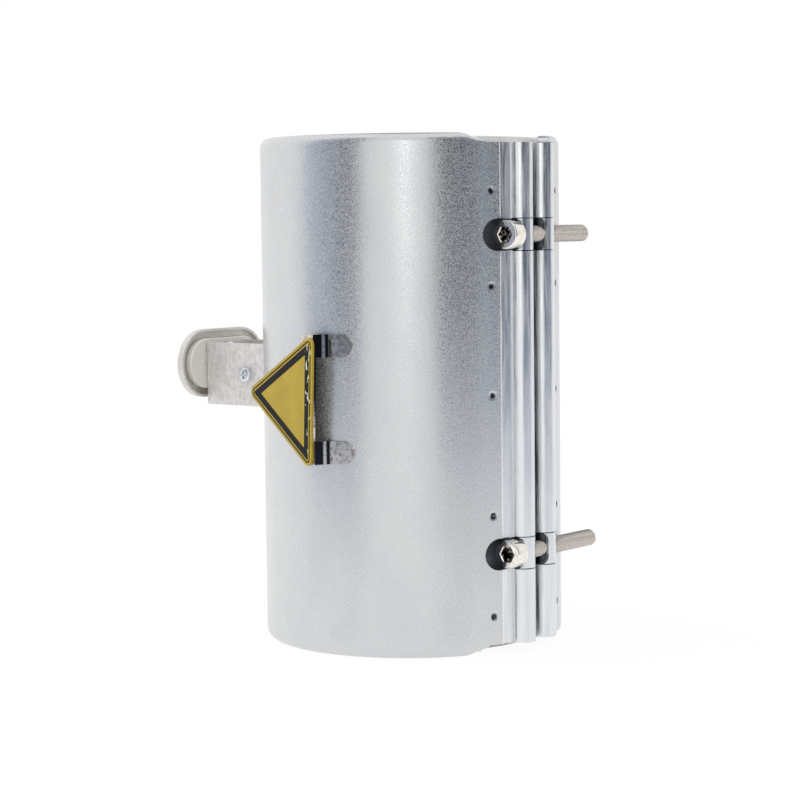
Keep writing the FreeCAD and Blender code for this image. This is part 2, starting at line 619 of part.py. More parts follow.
def foot_rivets():
    """Four domed rivets through the bracket's feet and the jacket."""
    rivets = []
    for start, end in rivet_axes():
        outward = (end - start).normalize()
        outward = V(outward.x, outward.y, 0)
        ball = (RIVET_HEAD_RADIUS**2 + RIVET_HEAD_HEIGHT**2) / (2 * RIVET_HEAD_HEIGHT)
        dome = Part.makeSphere(ball, end + outward * (RIVET_HEAD_HEIGHT - ball))
        cap = rod(ball, end, end + outward * RIVET_HEAD_HEIGHT)
        rivets.append(joined([dome.common(cap), rod(RIVET_RADIUS, start, end)]))
    return Part.makeCompound(rivets)


def through_terminal(radius, y, z, start, end):
    """Round rod along -X in the terminal, between two distances from the axis."""
    return rod(radius, V(-start, y, z), V(-end, y, z))


def stud_places():
    """The studs' two places across the terminal."""
    return [side * STUD_PITCH / 2 for side in (-1, 1)]


def terminal_shell():
    """Shallow oval metal dish behind the ceramic block, its rim turned towards the band."""
    rim = SHELL_BACK - SHELL_DEPTH
    outside = stadium(SHELL_HALF_WIDTH, SHELL_HALF_HEIGHT, rim, SHELL_BACK)
    inside = stadium(SHELL_HALF_WIDTH - SHELL_WALL, SHELL_HALF_HEIGHT - SHELL_WALL, rim, BLOCK_FRONT)
    wide, small = COLLAR_RADIUS + COLLAR_PLAY, SMALL_SCREW_RADIUS + SMALL_PLAY
    holes = [through_terminal(wide, y, TERMINAL_Z, rim, SHELL_BACK) for y in stud_places()]
    holes += [through_terminal(small, 0, z, rim, SHELL_BACK) for z in HOUSING_SCREW_HEIGHTS]
    return outside.cut([inside, *holes])


def terminal_block():
    """Oval ceramic block between the bracket and the shell, with a collar round each stud."""
    body = stadium(BLOCK_HALF_WIDTH, BLOCK_HALF_HEIGHT, BRACKET_REACH, BLOCK_FRONT)
    reach = (TERMINAL_Z, BRACKET_REACH, COLLAR_FRONT)
    collars = [through_terminal(COLLAR_RADIUS, y, *reach) for y in stud_places()]
    cuts = [through_terminal(STUD_CORE_RADIUS + STUD_PLAY, y, *reach) for y in stud_places()]
    small = SMALL_SCREW_RADIUS + SMALL_PLAY
    cuts += [through_terminal(small, 0, z, BRACKET_REACH, BLOCK_FRONT) for z in HOUSING_SCREW_HEIGHTS]
    return joined([body, *collars]).cut(cuts)


def lead_stud(side):
    """Terminal stud: plain at its thread's core where nuts and block cover it, and at full size in front."""
    y = side * STUD_PITCH / 2
    shoulder = COLLAR_FRONT + STUD_NUT_THICKNESS + STUD_SHOULDER_GAP
    core = through_terminal(STUD_CORE_RADIUS, y, TERMINAL_Z, STUD_END, shoulder)
    free = through_terminal(STUD_RADIUS, y, TERMINAL_Z, shoulder, STUD_TIP)
    tip_edges = [e for e in free.Edges if e.BoundBox.XMax < STUD_CHAMFER - STUD_TIP]
    return joined([core, free.makeChamfer(STUD_CHAMFER, tip_edges)])


def stud_nuts():
    """Hexagon nuts on the studs: one behind the block and one in front of its collar on each."""
    nuts = []
    for y in stud_places():
        for face in (BRACKET_REACH - STUD_NUT_THICKNESS, COLLAR_FRONT):
            start, end = V(-face, y, TERMINAL_Z), V(-face - STUD_NUT_THICKNESS, y, TERMINAL_Z)
            nuts.append(hexagon(STUD_NUT_FLATS, start, end).cut(rod(STUD_CORE_RADIUS + STUD_PLAY, start, end)))
    return Part.makeCompound(nuts)


def housing_screws():
    """Two small screws that hold the block and the shell to the bracket's end plate."""
    heads_x = -BRACKET_REACH + BRACKET_SHEET
    screws = [pan_screw(V(heads_x, 0, z), -AXIS_X, HOUSING_SCREW_LENGTH) for z in HOUSING_SCREW_HEIGHTS]
    return Part.makeCompound(screws)


def small_nut(start, along):
    """Small hexagon nut that starts at a point and runs along a direction."""
    end = start + along * SMALL_NUT_THICKNESS
    return hexagon(SMALL_NUT_FLATS, start, end).cut(rod(SMALL_SCREW_RADIUS + SMALL_PLAY, start, end))


def housing_nuts():
    """Nuts of the two small screws, on the shell's back."""
    return Part.makeCompound([small_nut(V(-SHELL_BACK, 0, z), -AXIS_X) for z in HOUSING_SCREW_HEIGHTS])


def earth_screw():
    """Small cross-head screw in the bracket's side."""
    base = V(-EARTH_SCREW_REACH, -BRACKET_WIDTH / 2, BRACKET_CENTRE_Z)
    return pan_screw(base, AXIS_Y, BRACKET_SHEET + SMALL_NUT_THICKNESS + SMALL_TIP)


def earth_nut():
    """Nut of the small screw, inside the bracket."""
    return small_nut(V(-EARTH_SCREW_REACH, -BRACKET_WIDTH / 2 + BRACKET_SHEET, BRACKET_CENTRE_Z), AXIS_Y)


def rounded_triangle(side, corner, base_offset, start, end):
    """Three-sided plate facing +X with its base at +Y, a little slanted, between two distances along X."""
    height = side * math.sqrt(3) / 2
    centre = base_offset - height / 3
    inner_reach = side / math.sqrt(3) - 2 * corner
    discs = []
    for turn in (180, 60, -60):
        a = math.radians(turn)
        discs.append(V(start, centre + inner_reach * math.cos(a), inner_reach * math.sin(a)))
    edges = []
    for i, turn in enumerate((180, 60, -60)):
        here, following = discs[i], discs[(i + 1) % 3]

        def on_corner(degrees, point):
            a = math.radians(degrees)
            return V(start, point.y + corner * math.cos(a), point.z + corner * math.sin(a))

        arc = [on_corner(degrees, here) for degrees in (turn + 60, turn, turn - 60)]
        edges.append(Part.Arc(*arc).toShape())
        edges.append(Part.makeLine(arc[-1], on_corner(turn - 60, following)))
    plate = Part.Face(Part.Wire(edges)).extrude(V(end - start, 0, 0))
    plate.rotate(ORIGIN, AXIS_X, -SIGN_SLANT)
    return plate.translated(V(0, 0, SIGN_CENTRE_Z))


def sign_tab(side):
    """One tab of the sign's bracket: down from the backing plate and along the jacket to a round end."""
    front = SIGN_BACK + SIGN_BRACKET_SHEET
    foot_outer = JACKET_OUTER + SIGN_BRACKET_SHEET
    start = angle_at(TAB_FOOT_START)
    end = start + math.degrees(TAB_FOOT_LENGTH / JACKET_OUTER)
    nose_angle = end - math.degrees(TAB_WIDTH / 2 / JACKET_OUTER)
    centre = SIGN_CENTRE_Z + side * TAB_PITCH / 2
    low, high = centre - TAB_WIDTH / 2, centre + TAB_WIDTH / 2
    top = block((SIGN_BACK, front), (SIGN_BASE_OFFSET - TAB_WIDTH, SIGN_BASE_OFFSET), (low, high))
    heel_inner, heel_outer = polar(JACKET_OUTER, start, low), polar(foot_outer, start, low)
    heel = heel_outer + (heel_outer - heel_inner).cross(AXIS_Z).normalize() * SIGN_BRACKET_SHEET
    corners = [V(front, SIGN_BASE_OFFSET, low), V(front, SIGN_BASE_OFFSET - SIGN_BRACKET_SHEET, low)]
    corners += [heel, heel_inner, heel_outer]
    leg = Part.Face(Part.makePolygon([*corners, corners[0]])).extrude(V(0, 0, TAB_WIDTH))
    nose = rod(TAB_WIDTH / 2, polar(JACKET_INNER, nose_angle, centre), polar(SIGN_BACK, nose_angle, centre))
    straight = sector(JACKET_INNER, SIGN_BACK, low, high, start, nose_angle)
    foot = sector(JACKET_OUTER, foot_outer, low, high, start, end).common(nose.fuse(straight))
    return joined([top, leg, foot]).cut(weld_dimple(foot_outer, nose_angle, centre))


def sign_bracket():
    """Folded sheet behind the sign: a backing plate and two tabs that step down on to the jacket."""
    front = SIGN_BACK + SIGN_BRACKET_SHEET
    backing = rounded_triangle(SIGN_SIDE, SIGN_CORNER, SIGN_BASE_OFFSET, SIGN_BACK, front)
    jacket_room = Part.makeCylinder(JACKET_OUTER, BAND_LENGTH, V(0, 0, -HALF_LENGTH))
    return turned(joined([backing, sign_tab(-1), sign_tab(1)]).cut(jacket_room), SIGN_ANGLE)


def sign_plate():
    """Thin three-sided plate with rounded corners, fixed flat on its bracket."""
    back = SIGN_BACK + SIGN_BRACKET_SHEET
    plate = rounded_triangle(SIGN_SIDE, SIGN_CORNER, SIGN_BASE_OFFSET, back, back + SIGN_SHEET)
    return turned(plate, SIGN_ANGLE)


def nodes():
    """Every separate piece under its node's name."""
    made = {
        "outer_jacket": outer_jacket(),
        "insulation_blanket": insulation_blanket(),
        "heating_coil": heating_coil(),
        "gap_shield": gap_shield(),
        "tile_stop": tile_stop(),
        "head_side_strip": head_side_strip(),
        "nut_side_strip": nut_side_strip(),
        "terminal_bracket": terminal_bracket(),
        "foot_rivets": foot_rivets(),
        "terminal_shell": terminal_shell(),
        "terminal_block": terminal_block(),
        "stud_nuts": stud_nuts(),
        "housing_screws": housing_screws(),
        "housing_nuts": housing_nuts(),
        "earth_screw": earth_screw(),
        "earth_nut": earth_nut(),
        "sign_bracket": sign_bracket(),
        "sign_plate": sign_plate(),
    }
    for row in range(ROW_COUNT):
        made[f"tile_row_{row + 1}"] = tile_row(row)
    for place, (z, length) in CLAMP_SCREWS.items():
        made[f"{place}_clamp_screw"] = clamp_screw(z, length)
        made[f"{place}_head_bar"] = clamp_bar(-1, z, SCREW_RADIUS + SCREW_CLEARANCE)
        made[f"{place}_nut_bar"] = clamp_bar(1, z, SCREW_RADIUS + THREAD_PLAY)
    for name, side in (("lower", -1), ("upper", 1)):
        made[f"{name}_lead_wire"] = lead_wire(side)
        made[f"{name}_lead_sleeve"] = lead_sleeve(side)
        made[f"{name}_lead_stud"] = lead_stud(side)
    return made


def main():
    os.makedirs("parts", exist_ok=True)
    for name, shape in nodes().items():
        shape.exportStep(f"parts/{name}.step")
        print(name, len(shape.Solids), round(shape.Volume, 1), shape.isValid())


if __name__ == "__main__":
    main()
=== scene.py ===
"""Ceramic band heater: the finished look of every piece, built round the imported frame.

The frame's origin is the centre of the bore, +Z runs up the bore and +X runs out through the middle of
the clamp gap. Lengths are in metres; sizes written in millimetres are turned by MM.
"""

import logging
import math
from dataclasses import dataclass, field
from enum import Enum
from typing import Iterable, Sequence

import bmesh
import bpy
import numpy as np
from mathutils import Matrix, Vector


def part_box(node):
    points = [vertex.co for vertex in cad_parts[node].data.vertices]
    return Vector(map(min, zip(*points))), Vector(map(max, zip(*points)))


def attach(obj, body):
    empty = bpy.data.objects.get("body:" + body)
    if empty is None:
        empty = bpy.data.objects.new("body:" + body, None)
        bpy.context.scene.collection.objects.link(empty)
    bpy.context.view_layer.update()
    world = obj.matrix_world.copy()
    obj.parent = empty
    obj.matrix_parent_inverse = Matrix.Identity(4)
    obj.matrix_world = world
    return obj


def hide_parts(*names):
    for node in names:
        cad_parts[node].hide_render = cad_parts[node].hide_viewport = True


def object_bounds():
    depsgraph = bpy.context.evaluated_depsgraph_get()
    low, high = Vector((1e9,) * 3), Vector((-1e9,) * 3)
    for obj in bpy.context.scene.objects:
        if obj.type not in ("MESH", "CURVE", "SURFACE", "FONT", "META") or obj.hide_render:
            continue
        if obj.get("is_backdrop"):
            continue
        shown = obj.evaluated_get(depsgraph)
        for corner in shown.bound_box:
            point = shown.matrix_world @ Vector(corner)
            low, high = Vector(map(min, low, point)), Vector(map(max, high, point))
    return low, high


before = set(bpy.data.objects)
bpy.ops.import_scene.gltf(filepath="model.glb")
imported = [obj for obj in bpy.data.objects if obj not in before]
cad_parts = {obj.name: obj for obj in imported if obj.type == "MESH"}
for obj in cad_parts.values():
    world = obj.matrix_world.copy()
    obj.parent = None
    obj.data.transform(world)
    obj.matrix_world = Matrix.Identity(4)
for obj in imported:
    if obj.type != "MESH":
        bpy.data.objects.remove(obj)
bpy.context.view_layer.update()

MM = 0.001
BAND = "band"
RENDER_SIZE = 800
# The clamp screws' axes, in millimetres: out from the bore's axis, and above and below the middle.
SCREW_X, SCREW_Z = 53.4, 55.5
# How much a noise is squeezed along X, Y and Z, and which part of a noise is spread over a pattern.
EVEN = (1, 1, 1)
UPRIGHT = (1, 1, 0.05)
SOFT = (0.3, 0.7)
CRISP = (0.35, 0.65)
LOG = logging.getLogger("band_heater")
Socket = bpy.types.NodeSocket


def linear(hex_colour: str) -> tuple[float, float, float, float]:
    """Turn an sRGB hex colour into linear RGBA.

    Args:
        hex_colour: six hex digits, with or without a leading mark.

    Returns:
        Linear red, green, blue and an alpha of 1.
    """
    digits = hex_colour.lstrip("#")
    values = np.array([int(digits[i : i + 2], 16) for i in (0, 2, 4)]) / 255
    bright = np.where(values <= 0.04045, values / 12.92, ((values + 0.055) / 1.055) ** 2.4)
    return (*(float(v) for v in bright), 1.0)


def add_node(tree: bpy.types.NodeTree, kind: str, settings: dict | None = None,
             links: dict | None = None) -> bpy.types.Node:
    """Add one shader node, with its properties, input values and incoming links.

    Args:
        tree: the node tree of a material or world.
        kind: Blender's name of the node type.
        settings: property names or input names (or numbers) and their values.
        links: input names (or numbers) and the sockets that feed them.

    Returns:
        The new node.
    """
    made = tree.nodes.new(kind)
    for key, value in (settings or {}).items():
        if isinstance(key, str) and hasattr(made, key):
            setattr(made, key, value)
        else:
            made.inputs[key].default_value = value
    for key, source in (links or {}).items():
        tree.links.new(source, made.inputs[key])
    return made


def per_metre(size_mm: float) -> float:
    """Scale of a noise whose features are about this many millimetres across."""
    return 1 / (size_mm * MM)


class Surface:
    """Builds one material's node tree round a Principled shader, from patterns on Object coordinates.

    Most of a noise lies in SOFT, which is spread over 0 to 1 for a gentle pattern, and CRISP gives more
    contrast. A noise squeezed by UPRIGHT runs in long streaks along the bore.
    """

    def __init__(self, name: str) -> None:
        """Start an empty material.

        Args:
            name: its name.
        """
        self.material = bpy.data.materials.new(name)
        self.material.use_nodes = True
        self.tree = self.material.node_tree
        self.shader = self.tree.nodes["Principled BSDF"]
        self.place = add_node(self.tree, "ShaderNodeTexCoord").outputs["Object"]

    def value(self, **inputs: object) -> None:
        """Set the shader's own sockets; underscores in a name stand for spaces."""
        for key, amount in inputs.items():
            self.shader.inputs[key.replace("_", " ")].default_value = amount

    def axes(self) -> bpy.types.NodeOutputs:
        """Sockets X, Y and Z of the Object coordinates."""
        return add_node(self.tree, "ShaderNodeSeparateXYZ", {}, {0: self.place}).outputs

    def noise(self, size_mm: float, detail: float = 2.0, stretch: tuple = EVEN, rough: float = 0.5) -> Socket:
        """Noise on the Object coordinates.

        Args:
            size_mm: size of its features.
            detail: how many finer layers it has.
            stretch: how much it is squeezed along each axis.
            rough: strength of each finer layer.

        Returns:
            The socket that carries the noise, about 0 to 1.
        """
        spot = add_node(self.tree, "ShaderNodeMapping", {"Scale": stretch}, {"Vector": self.place})
        settings = {"Scale": per_metre(size_mm), "Detail": detail, "Roughness": rough}
        return add_node(self.tree, "ShaderNodeTexNoise", settings, {"Vector": spot.outputs[0]}).outputs["Fac"]

    def attribute(self, name: str) -> Socket:
        """Socket of a mesh attribute that holds one number a vertex."""
        return add_node(self.tree, "ShaderNodeAttribute", {"attribute_name": name}).outputs["Fac"]

    def ramp(self, source: Socket, low: float, high: float, to_low: float = 0.0,
             to_high: float = 1.0) -> Socket:
        """Spread a range of values over another, held at both ends.

        Args:
            source: the socket with the values.
            low: value that becomes to_low.
            high: value that becomes to_high.
            to_low: start of the new range.
            to_high: end of the new range.

        Returns:
            The socket with the new values.
        """
        settings = {"From Min": low, "From Max": high, "To Min": to_low, "To Max": to_high}
        return add_node(self.tree, "ShaderNodeMapRange", settings, {"Value": source}).outputs["Result"]

    def maths(self, operation: str, first: Socket | float, second: Socket | float) -> Socket:
        """Result of a Math node.

        Args:
            operation: Blender's name of the operation.
            first: a socket or a number.
            second: a socket or a number.

        Returns:
            The socket with the result.
        """
        links = {i: s for i, s in enumerate((first, second)) if not isinstance(s, (int, float))}
        values = {i: s for i, s in enumerate((first, second)) if isinstance(s, (int, float))}
        return add_node(self.tree, "ShaderNodeMath", {"operation": operation, **values}, links).outputs[0]

    def mix(self, factor: Socket, first: Socket | str, second: Socket | str) -> Socket:
        """Mix of two colours.

        Args:
            factor: socket that is 0 for the first colour and 1 for the second.
            first: hex text or a socket.
            second: hex text or a socket.

        Returns:
            The socket with the mixed colour.
        """
        settings, links = {"data_type": "RGBA"}, {0: factor}
        for place, colour in ((6, first), (7, second)):
            if isinstance(colour, str):
                settings[place] = linear(colour)
            else:
                links[place] = colour
        return add_node(self.tree, "ShaderNodeMix", settings, links).outputs[2]

    def feed(self, name: str, socket: Socket) -> None:
        """Link a socket to one of the shader's inputs."""
        self.tree.links.new(socket, self.shader.inputs[name])

    def bump(self, height: Socket, depth_mm: float) -> None:
        """Raise the surface by a height socket, depth_mm from its lowest to its highest."""
        made = add_node(self.tree, "ShaderNodeBump", {"Distance": depth_mm * MM}, {"Height": height})
        self.feed("Normal", made.outputs["Normal"])


@dataclass(frozen=True)
class AluminisedSheet:
    """Hot-dip aluminised steel sheet: a satin grey metal whose fine frosted grain glitters where it is dark.

    The real frost is finer than a pixel, so it is drawn coarser, at grain_mm. Frost is the share of a
    grain's top that is matt instead of mirror-like. Pressed adds the smudged scorch of spot welds, from the
    mesh's weld attribute, and a near-white matt colour on the sheet's cut ends, partly their bare steel and
    partly a painted highlight, from the attribute that marks the ends.
    """

    name: str = "aluminised_sheet"
    light: str = "#D3D4D5"
    dark: str = "#CACCCF"
    scorch: str = "#2E3138"
    # Painted highlight: the near-white colour of the cut ends, which are also left matt.
    sheared: str = "#FAFAF8"
    grain_mm: float = 0.36
    grain_range: tuple = (0.38, 0.68)
    stretch: tuple = EVEN
    cloud_mm: float = 11.0
    cloud_share: tuple = (0.2, 0.8)
    smudge_mm: float = 1.3
    smudge_range: tuple = (0.32, 0.6)
    smudge_strength: tuple = (0.2, 1.7)
    scorch_range: tuple = (0.12, 0.8)
    roughness: float = 0.22
    rougher: float = 0.12
    frost: float = 0.5
    frost_mm: float = 0.012
    matt_metallic: float = 0.1
    pressed: bool = False

    def build(self) -> bpy.types.Material:
        """Build the material: grain in sheen and height over slow clouds of colour.

        Returns:
            The material.
        """
        made = Surface(self.name)
        grain = made.ramp(made.noise(self.grain_mm, 1.5, self.stretch), *self.grain_range)
        cloud = made.ramp(made.noise(self.cloud_mm, 2.0, (1, 1, 0.5)), *SOFT, *self.cloud_share)
        colour = made.mix(cloud, self.dark, self.light)
        matt = made.maths("MULTIPLY", grain, self.frost)
        if self.pressed:
            smudge = made.noise(self.smudge_mm, 4.0, rough=0.65)
            smudge = made.ramp(smudge, *self.smudge_range, *self.smudge_strength)
            scorched = made.ramp(made.maths("MULTIPLY", made.attribute("weld"), smudge), *self.scorch_range)
            # Cut ends: bare steel with a painted highlight in near-white.
            bare_end_painted_highlight = made.attribute("bare_end_painted_highlight")
            colour = made.mix(bare_end_painted_highlight, made.mix(scorched, colour, self.scorch), self.sheared)
            matt = made.maths("MAXIMUM", matt, bare_end_painted_highlight)
        made.feed("Base Color", colour)
        made.feed("Metallic", made.ramp(matt, 0.0, 1.0, 1.0, self.matt_metallic))
        made.feed("Roughness", made.ramp(grain, 0.0, 1.0, self.roughness, self.roughness + self.rougher))
        made.bump(grain, self.frost_mm)
        return made.material


@dataclass(frozen=True)
class DullMetal:
    """Metal with a dull, broken skin: soft patches or a stipple, and upright streaks for a share of it."""

    name: str
    light: str
    dark: str
    patch_mm: float
    detail: float
    roughness: tuple
    depth_mm: float
    streak_share: float = 0.0
    streak_mm: float = 1.0
    metallic: float = 0.6

    def build(self) -> bpy.types.Material:
        """Build the material: patches and streaks in colour and roughness, patches in height.

        Returns:
            The material.
        """
        made = Surface(self.name)
        patch = made.ramp(made.noise(self.patch_mm, self.detail), *CRISP)
        both = patch
        if self.streak_share:
            streak = made.ramp(made.noise(self.streak_mm, 3.0, (1, 1, 0.12)), *CRISP)
            both = made.maths("ADD", made.maths("MULTIPLY", patch, 1 - self.streak_share),
                              made.maths("MULTIPLY", streak, self.streak_share))
        made.feed("Base Color", made.mix(both, self.dark, self.light))
        made.feed("Roughness", made.ramp(both, 0.0, 1.0, *self.roughness))
        made.value(Metallic=self.metallic)
        made.bump(patch, self.depth_mm)
        return made.material


@dataclass(frozen=True)
class PlatedMetal:
    """Bright plated or polished metal, clear enough to mirror the room, with a trace of handling marks.

    Smudges make it a little rougher, streak paints shade in broken near-black patches, groove is the colour
    of a thread's bottom and the painted reflection bands are turns round the bore painted dark, where a bend
    mirrors dark.
    """

    name: str
    colour: str
    worn: str
    roughness: float
    rougher: float = 0.16
    mark_mm: float = 1.4
    mark_range: tuple = (0.45, 0.75)
    marks: float = 0.35
    wave_mm: float = 3.0
    wave_depth_mm: float = 0.01
    # Painted shade: a near-black colour laid in broken patches, and its spread.
    streak: str = ""
    painted_shade_range: tuple = (0.44, 0.56)
    groove: str = ""
    groove_range: tuple = (0.2, 0.9)
    # Painted reflection: turns round the bore painted dark, their colour and soft edge.
    painted_reflection_bands: tuple = ()
    painted_reflection_colour: str = "#23242B"
    painted_reflection_edge: float = 0.25

    def build(self) -> bpy.types.Material:
        """Build the material: smudges in colour and roughness over a slow waviness.

        Returns:
            The material.
        """
        made = Surface(self.name)
        smudge = made.ramp(made.noise(self.mark_mm, 4.0), *self.mark_range)
        colour = made.mix(made.maths("MULTIPLY", smudge, self.marks), self.colour, self.worn)
        # Painted reflection: bands at fixed turns round the bore, painted dark.
        for start, end in self.painted_reflection_bands:
            colour = made.mix(self.between(made, start, end), colour, self.painted_reflection_colour)
        # Painted shade: a near-black colour in broken patches.
        if self.streak:
            dark = made.ramp(made.noise(self.wave_mm, 1.0), *self.painted_shade_range)
            colour = made.mix(dark, colour, self.streak)
        if self.groove:
            deep = made.ramp(made.attribute("groove"), *self.groove_range)
            colour = made.mix(deep, colour, self.groove)
        made.feed("Base Color", colour)
        made.feed("Roughness", made.ramp(smudge, 0.0, 1.0, self.roughness, self.roughness + self.rougher))
        made.value(Metallic=1.0)
        made.bump(made.noise(self.wave_mm), self.wave_depth_mm)
        return made.material

    def between(self, made: Surface, start: float, end: float) -> Socket:
        """Window round the bore.

        Args:
            made: the surface that it is for.
            start: turn from +X in degrees where the window opens.
            end: turn where it closes.

        Returns:
            The socket that is 1 inside the window and 0 outside it.
        """
        axes = made.axes()
        turn = made.maths("ARCTAN2", axes["Y"], axes["X"])
        rise = made.ramp(turn, math.radians(start - self.painted_reflection_edge), math.radians(start))
        fall = made.ramp(turn, math.radians(end), math.radians(end + self.painted_reflection_edge), 1.0, 0.0)
        return made.maths("MULTIPLY", rise, fall)


@dataclass(frozen=True)
class PaintedLightAndShadeSheet:
    """Thin stainless sheet: painted light on its pale, matt ends and painted shade on its darker, bluer
    middle.
    """

    name: str = "painted_light_and_shade_sheet"
    # Painted light on the ends in pale, and painted shade on the middle in tint.
    pale: str = "#F8F8F6"
    tint: str = "#8E949F"
    end_mm: tuple = (84.0, 87.0)
    mottle_mm: float = 3.0
    sway_mm: float = 2.0
    roughness: tuple = (0.42, 0.6)
    metallic: tuple = (0.6, 0.0)

    def build(self) -> bpy.types.Material:
        """Build the material: painted light on the ends and painted shade between, by height, with a mottled
        border.

        Returns:
            The material.
        """
        made = Surface(self.name)
        height = made.maths("ABSOLUTE", made.axes()["Z"], 0.0)
        mottle = made.ramp(made.noise(self.mottle_mm, 3.0), *SOFT, -self.sway_mm * MM, self.sway_mm * MM)
        end = made.ramp(made.maths("ADD", height, mottle), self.end_mm[0] * MM, self.end_mm[1] * MM)
        made.feed("Base Color", made.mix(end, self.tint, self.pale))
        made.feed("Roughness", made.ramp(end, 0.0, 1.0, *self.roughness))
        made.feed("Metallic", made.ramp(end, 0.0, 1.0, *self.metallic))
        return made.material


@dataclass(frozen=True)
class Steatite:
    """Pressed and fired steatite ceramic: a matt cream body with a fine sandy grain and a few dark specks."""

    name: str = "steatite"
    light: str = "#EAE7E1"
    dark: str = "#D5D1C9"
    fleck: str = "#9C917F"
    grain_mm: float = 0.35
    speck_mm: float = 1.1
    speck_range: tuple = (0.74, 0.8)
    depth_mm: float = 0.03
    roughness: float = 0.62
    ior: float = 1.6

    def build(self) -> bpy.types.Material:
        """Build the material: grain in colour and height, with specks.

        Returns:
            The material.
        """
        made = Surface(self.name)
        grain = made.ramp(made.noise(self.grain_mm, 3.0), *SOFT)
        speck = made.ramp(made.noise(self.speck_mm, 1.0), *self.speck_range)
        made.feed("Base Color", made.mix(speck, made.mix(grain, self.dark, self.light), self.fleck))
        made.value(Roughness=self.roughness, IOR=self.ior)
        made.bump(grain, self.depth_mm)
        return made.material


@dataclass(frozen=True)
class FibreFelt:
    """Ceramic fibre felt: white, matt and matted, with loose fibres that break up its edge."""

    name: str = "ceramic_fibre_felt"
    light: str = "#F2F0EA"
    dark: str = "#D9D4C8"
    fibre_mm: float = 0.5
    depth_mm: float = 0.3
    roughness: float = 0.95

    def build(self) -> bpy.types.Material:
        """Build the material: matted fibres as a strong fine bump.

        Returns:
            The material.
        """
        made = Surface(self.name)
        matted = made.noise(self.fibre_mm, 6.0, (1, 1, 0.4), 0.7)
        made.feed("Base Color", made.mix(made.ramp(matted, *SOFT), self.dark, self.light))
        made.value(Roughness=self.roughness)
        made.bump(matted, self.depth_mm)
        return made.material


@dataclass(frozen=True)
class Enamel:
    """Baked enamel print on thin sheet: an even colour under a clear gloss that follows small ripples.

    Painted glints: pale flecks on the print stand for the glints that its gloss catches, more of them
    near the plate's upright side and higher up.
    """

    name: str
    colour: str
    deep: str
    ripple_mm: float = 2.2
    ripple_depth_mm: float = 0.02
    tone_share: float = 3.0
    tone_range: tuple = (0.25, 0.75)
    roughness: float = 0.38
    ior: float = 1.38
    # Painted glints: pale flecks over the print, their colour, size and spread.
    has_painted_glints: bool = False
    painted_glint_colour: str = "#D9D8D2"
    painted_glint_mm: float = 0.9
    painted_glint_range: tuple = (0.60, 0.64)
    across_mm: tuple = (15.6, 17.2)
    across_glint_lift: tuple = (-0.14, 0.0)
    height_mm: tuple = (-12.0, 4.0)
    height_glint_lift: tuple = (-0.05, 0.01)

    def build(self) -> bpy.types.Material:
        """Build the material: slow changes of tone under ripples.

        Returns:
            The material.
        """
        made = Surface(self.name)
        tone = made.ramp(made.noise(self.ripple_mm * self.tone_share), *self.tone_range)
        colour = made.mix(tone, self.deep, self.colour)
        # Painted highlight: pale flecks laid over the print as glints.
        if self.has_painted_glints:
            colour = made.mix(self.painted_glints(made), colour, self.painted_glint_colour)
        made.feed("Base Color", colour)
        made.value(Roughness=self.roughness, IOR=self.ior)
        made.bump(made.noise(self.ripple_mm), self.ripple_depth_mm)
        return made.material

    def painted_glints(self, made: Surface) -> Socket:
        """Noise that is lifted towards the plate's upright side and top, so that the painted glints are where
        it is high.

        Args:
            made: the surface that it is for.

        Returns:
            The socket that is 1 where a painted glint lies.
        """
        turn = math.radians(Sign.angle)
        tangent = {"operation": "DOT_PRODUCT", 1: (-math.sin(turn), math.cos(turn), 0.0)}
        across = add_node(made.tree, "ShaderNodeVectorMath", tangent, {0: made.place}).outputs["Value"]
        beside = made.ramp(across, *(v * MM for v in self.across_mm), *self.across_glint_lift)
        higher = made.ramp(made.axes()["Z"], *(v * MM for v in self.height_mm), *self.height_glint_lift)
        # How much the painted glints are lifted here, towards the upright side and the top.
        worn = made.maths("ADD", beside, higher)
        glint_noise = made.maths("ADD", made.noise(self.painted_glint_mm, 2.0, (1, 1, 0.3)), worn)
        return made.ramp(glint_noise, *self.painted_glint_range)


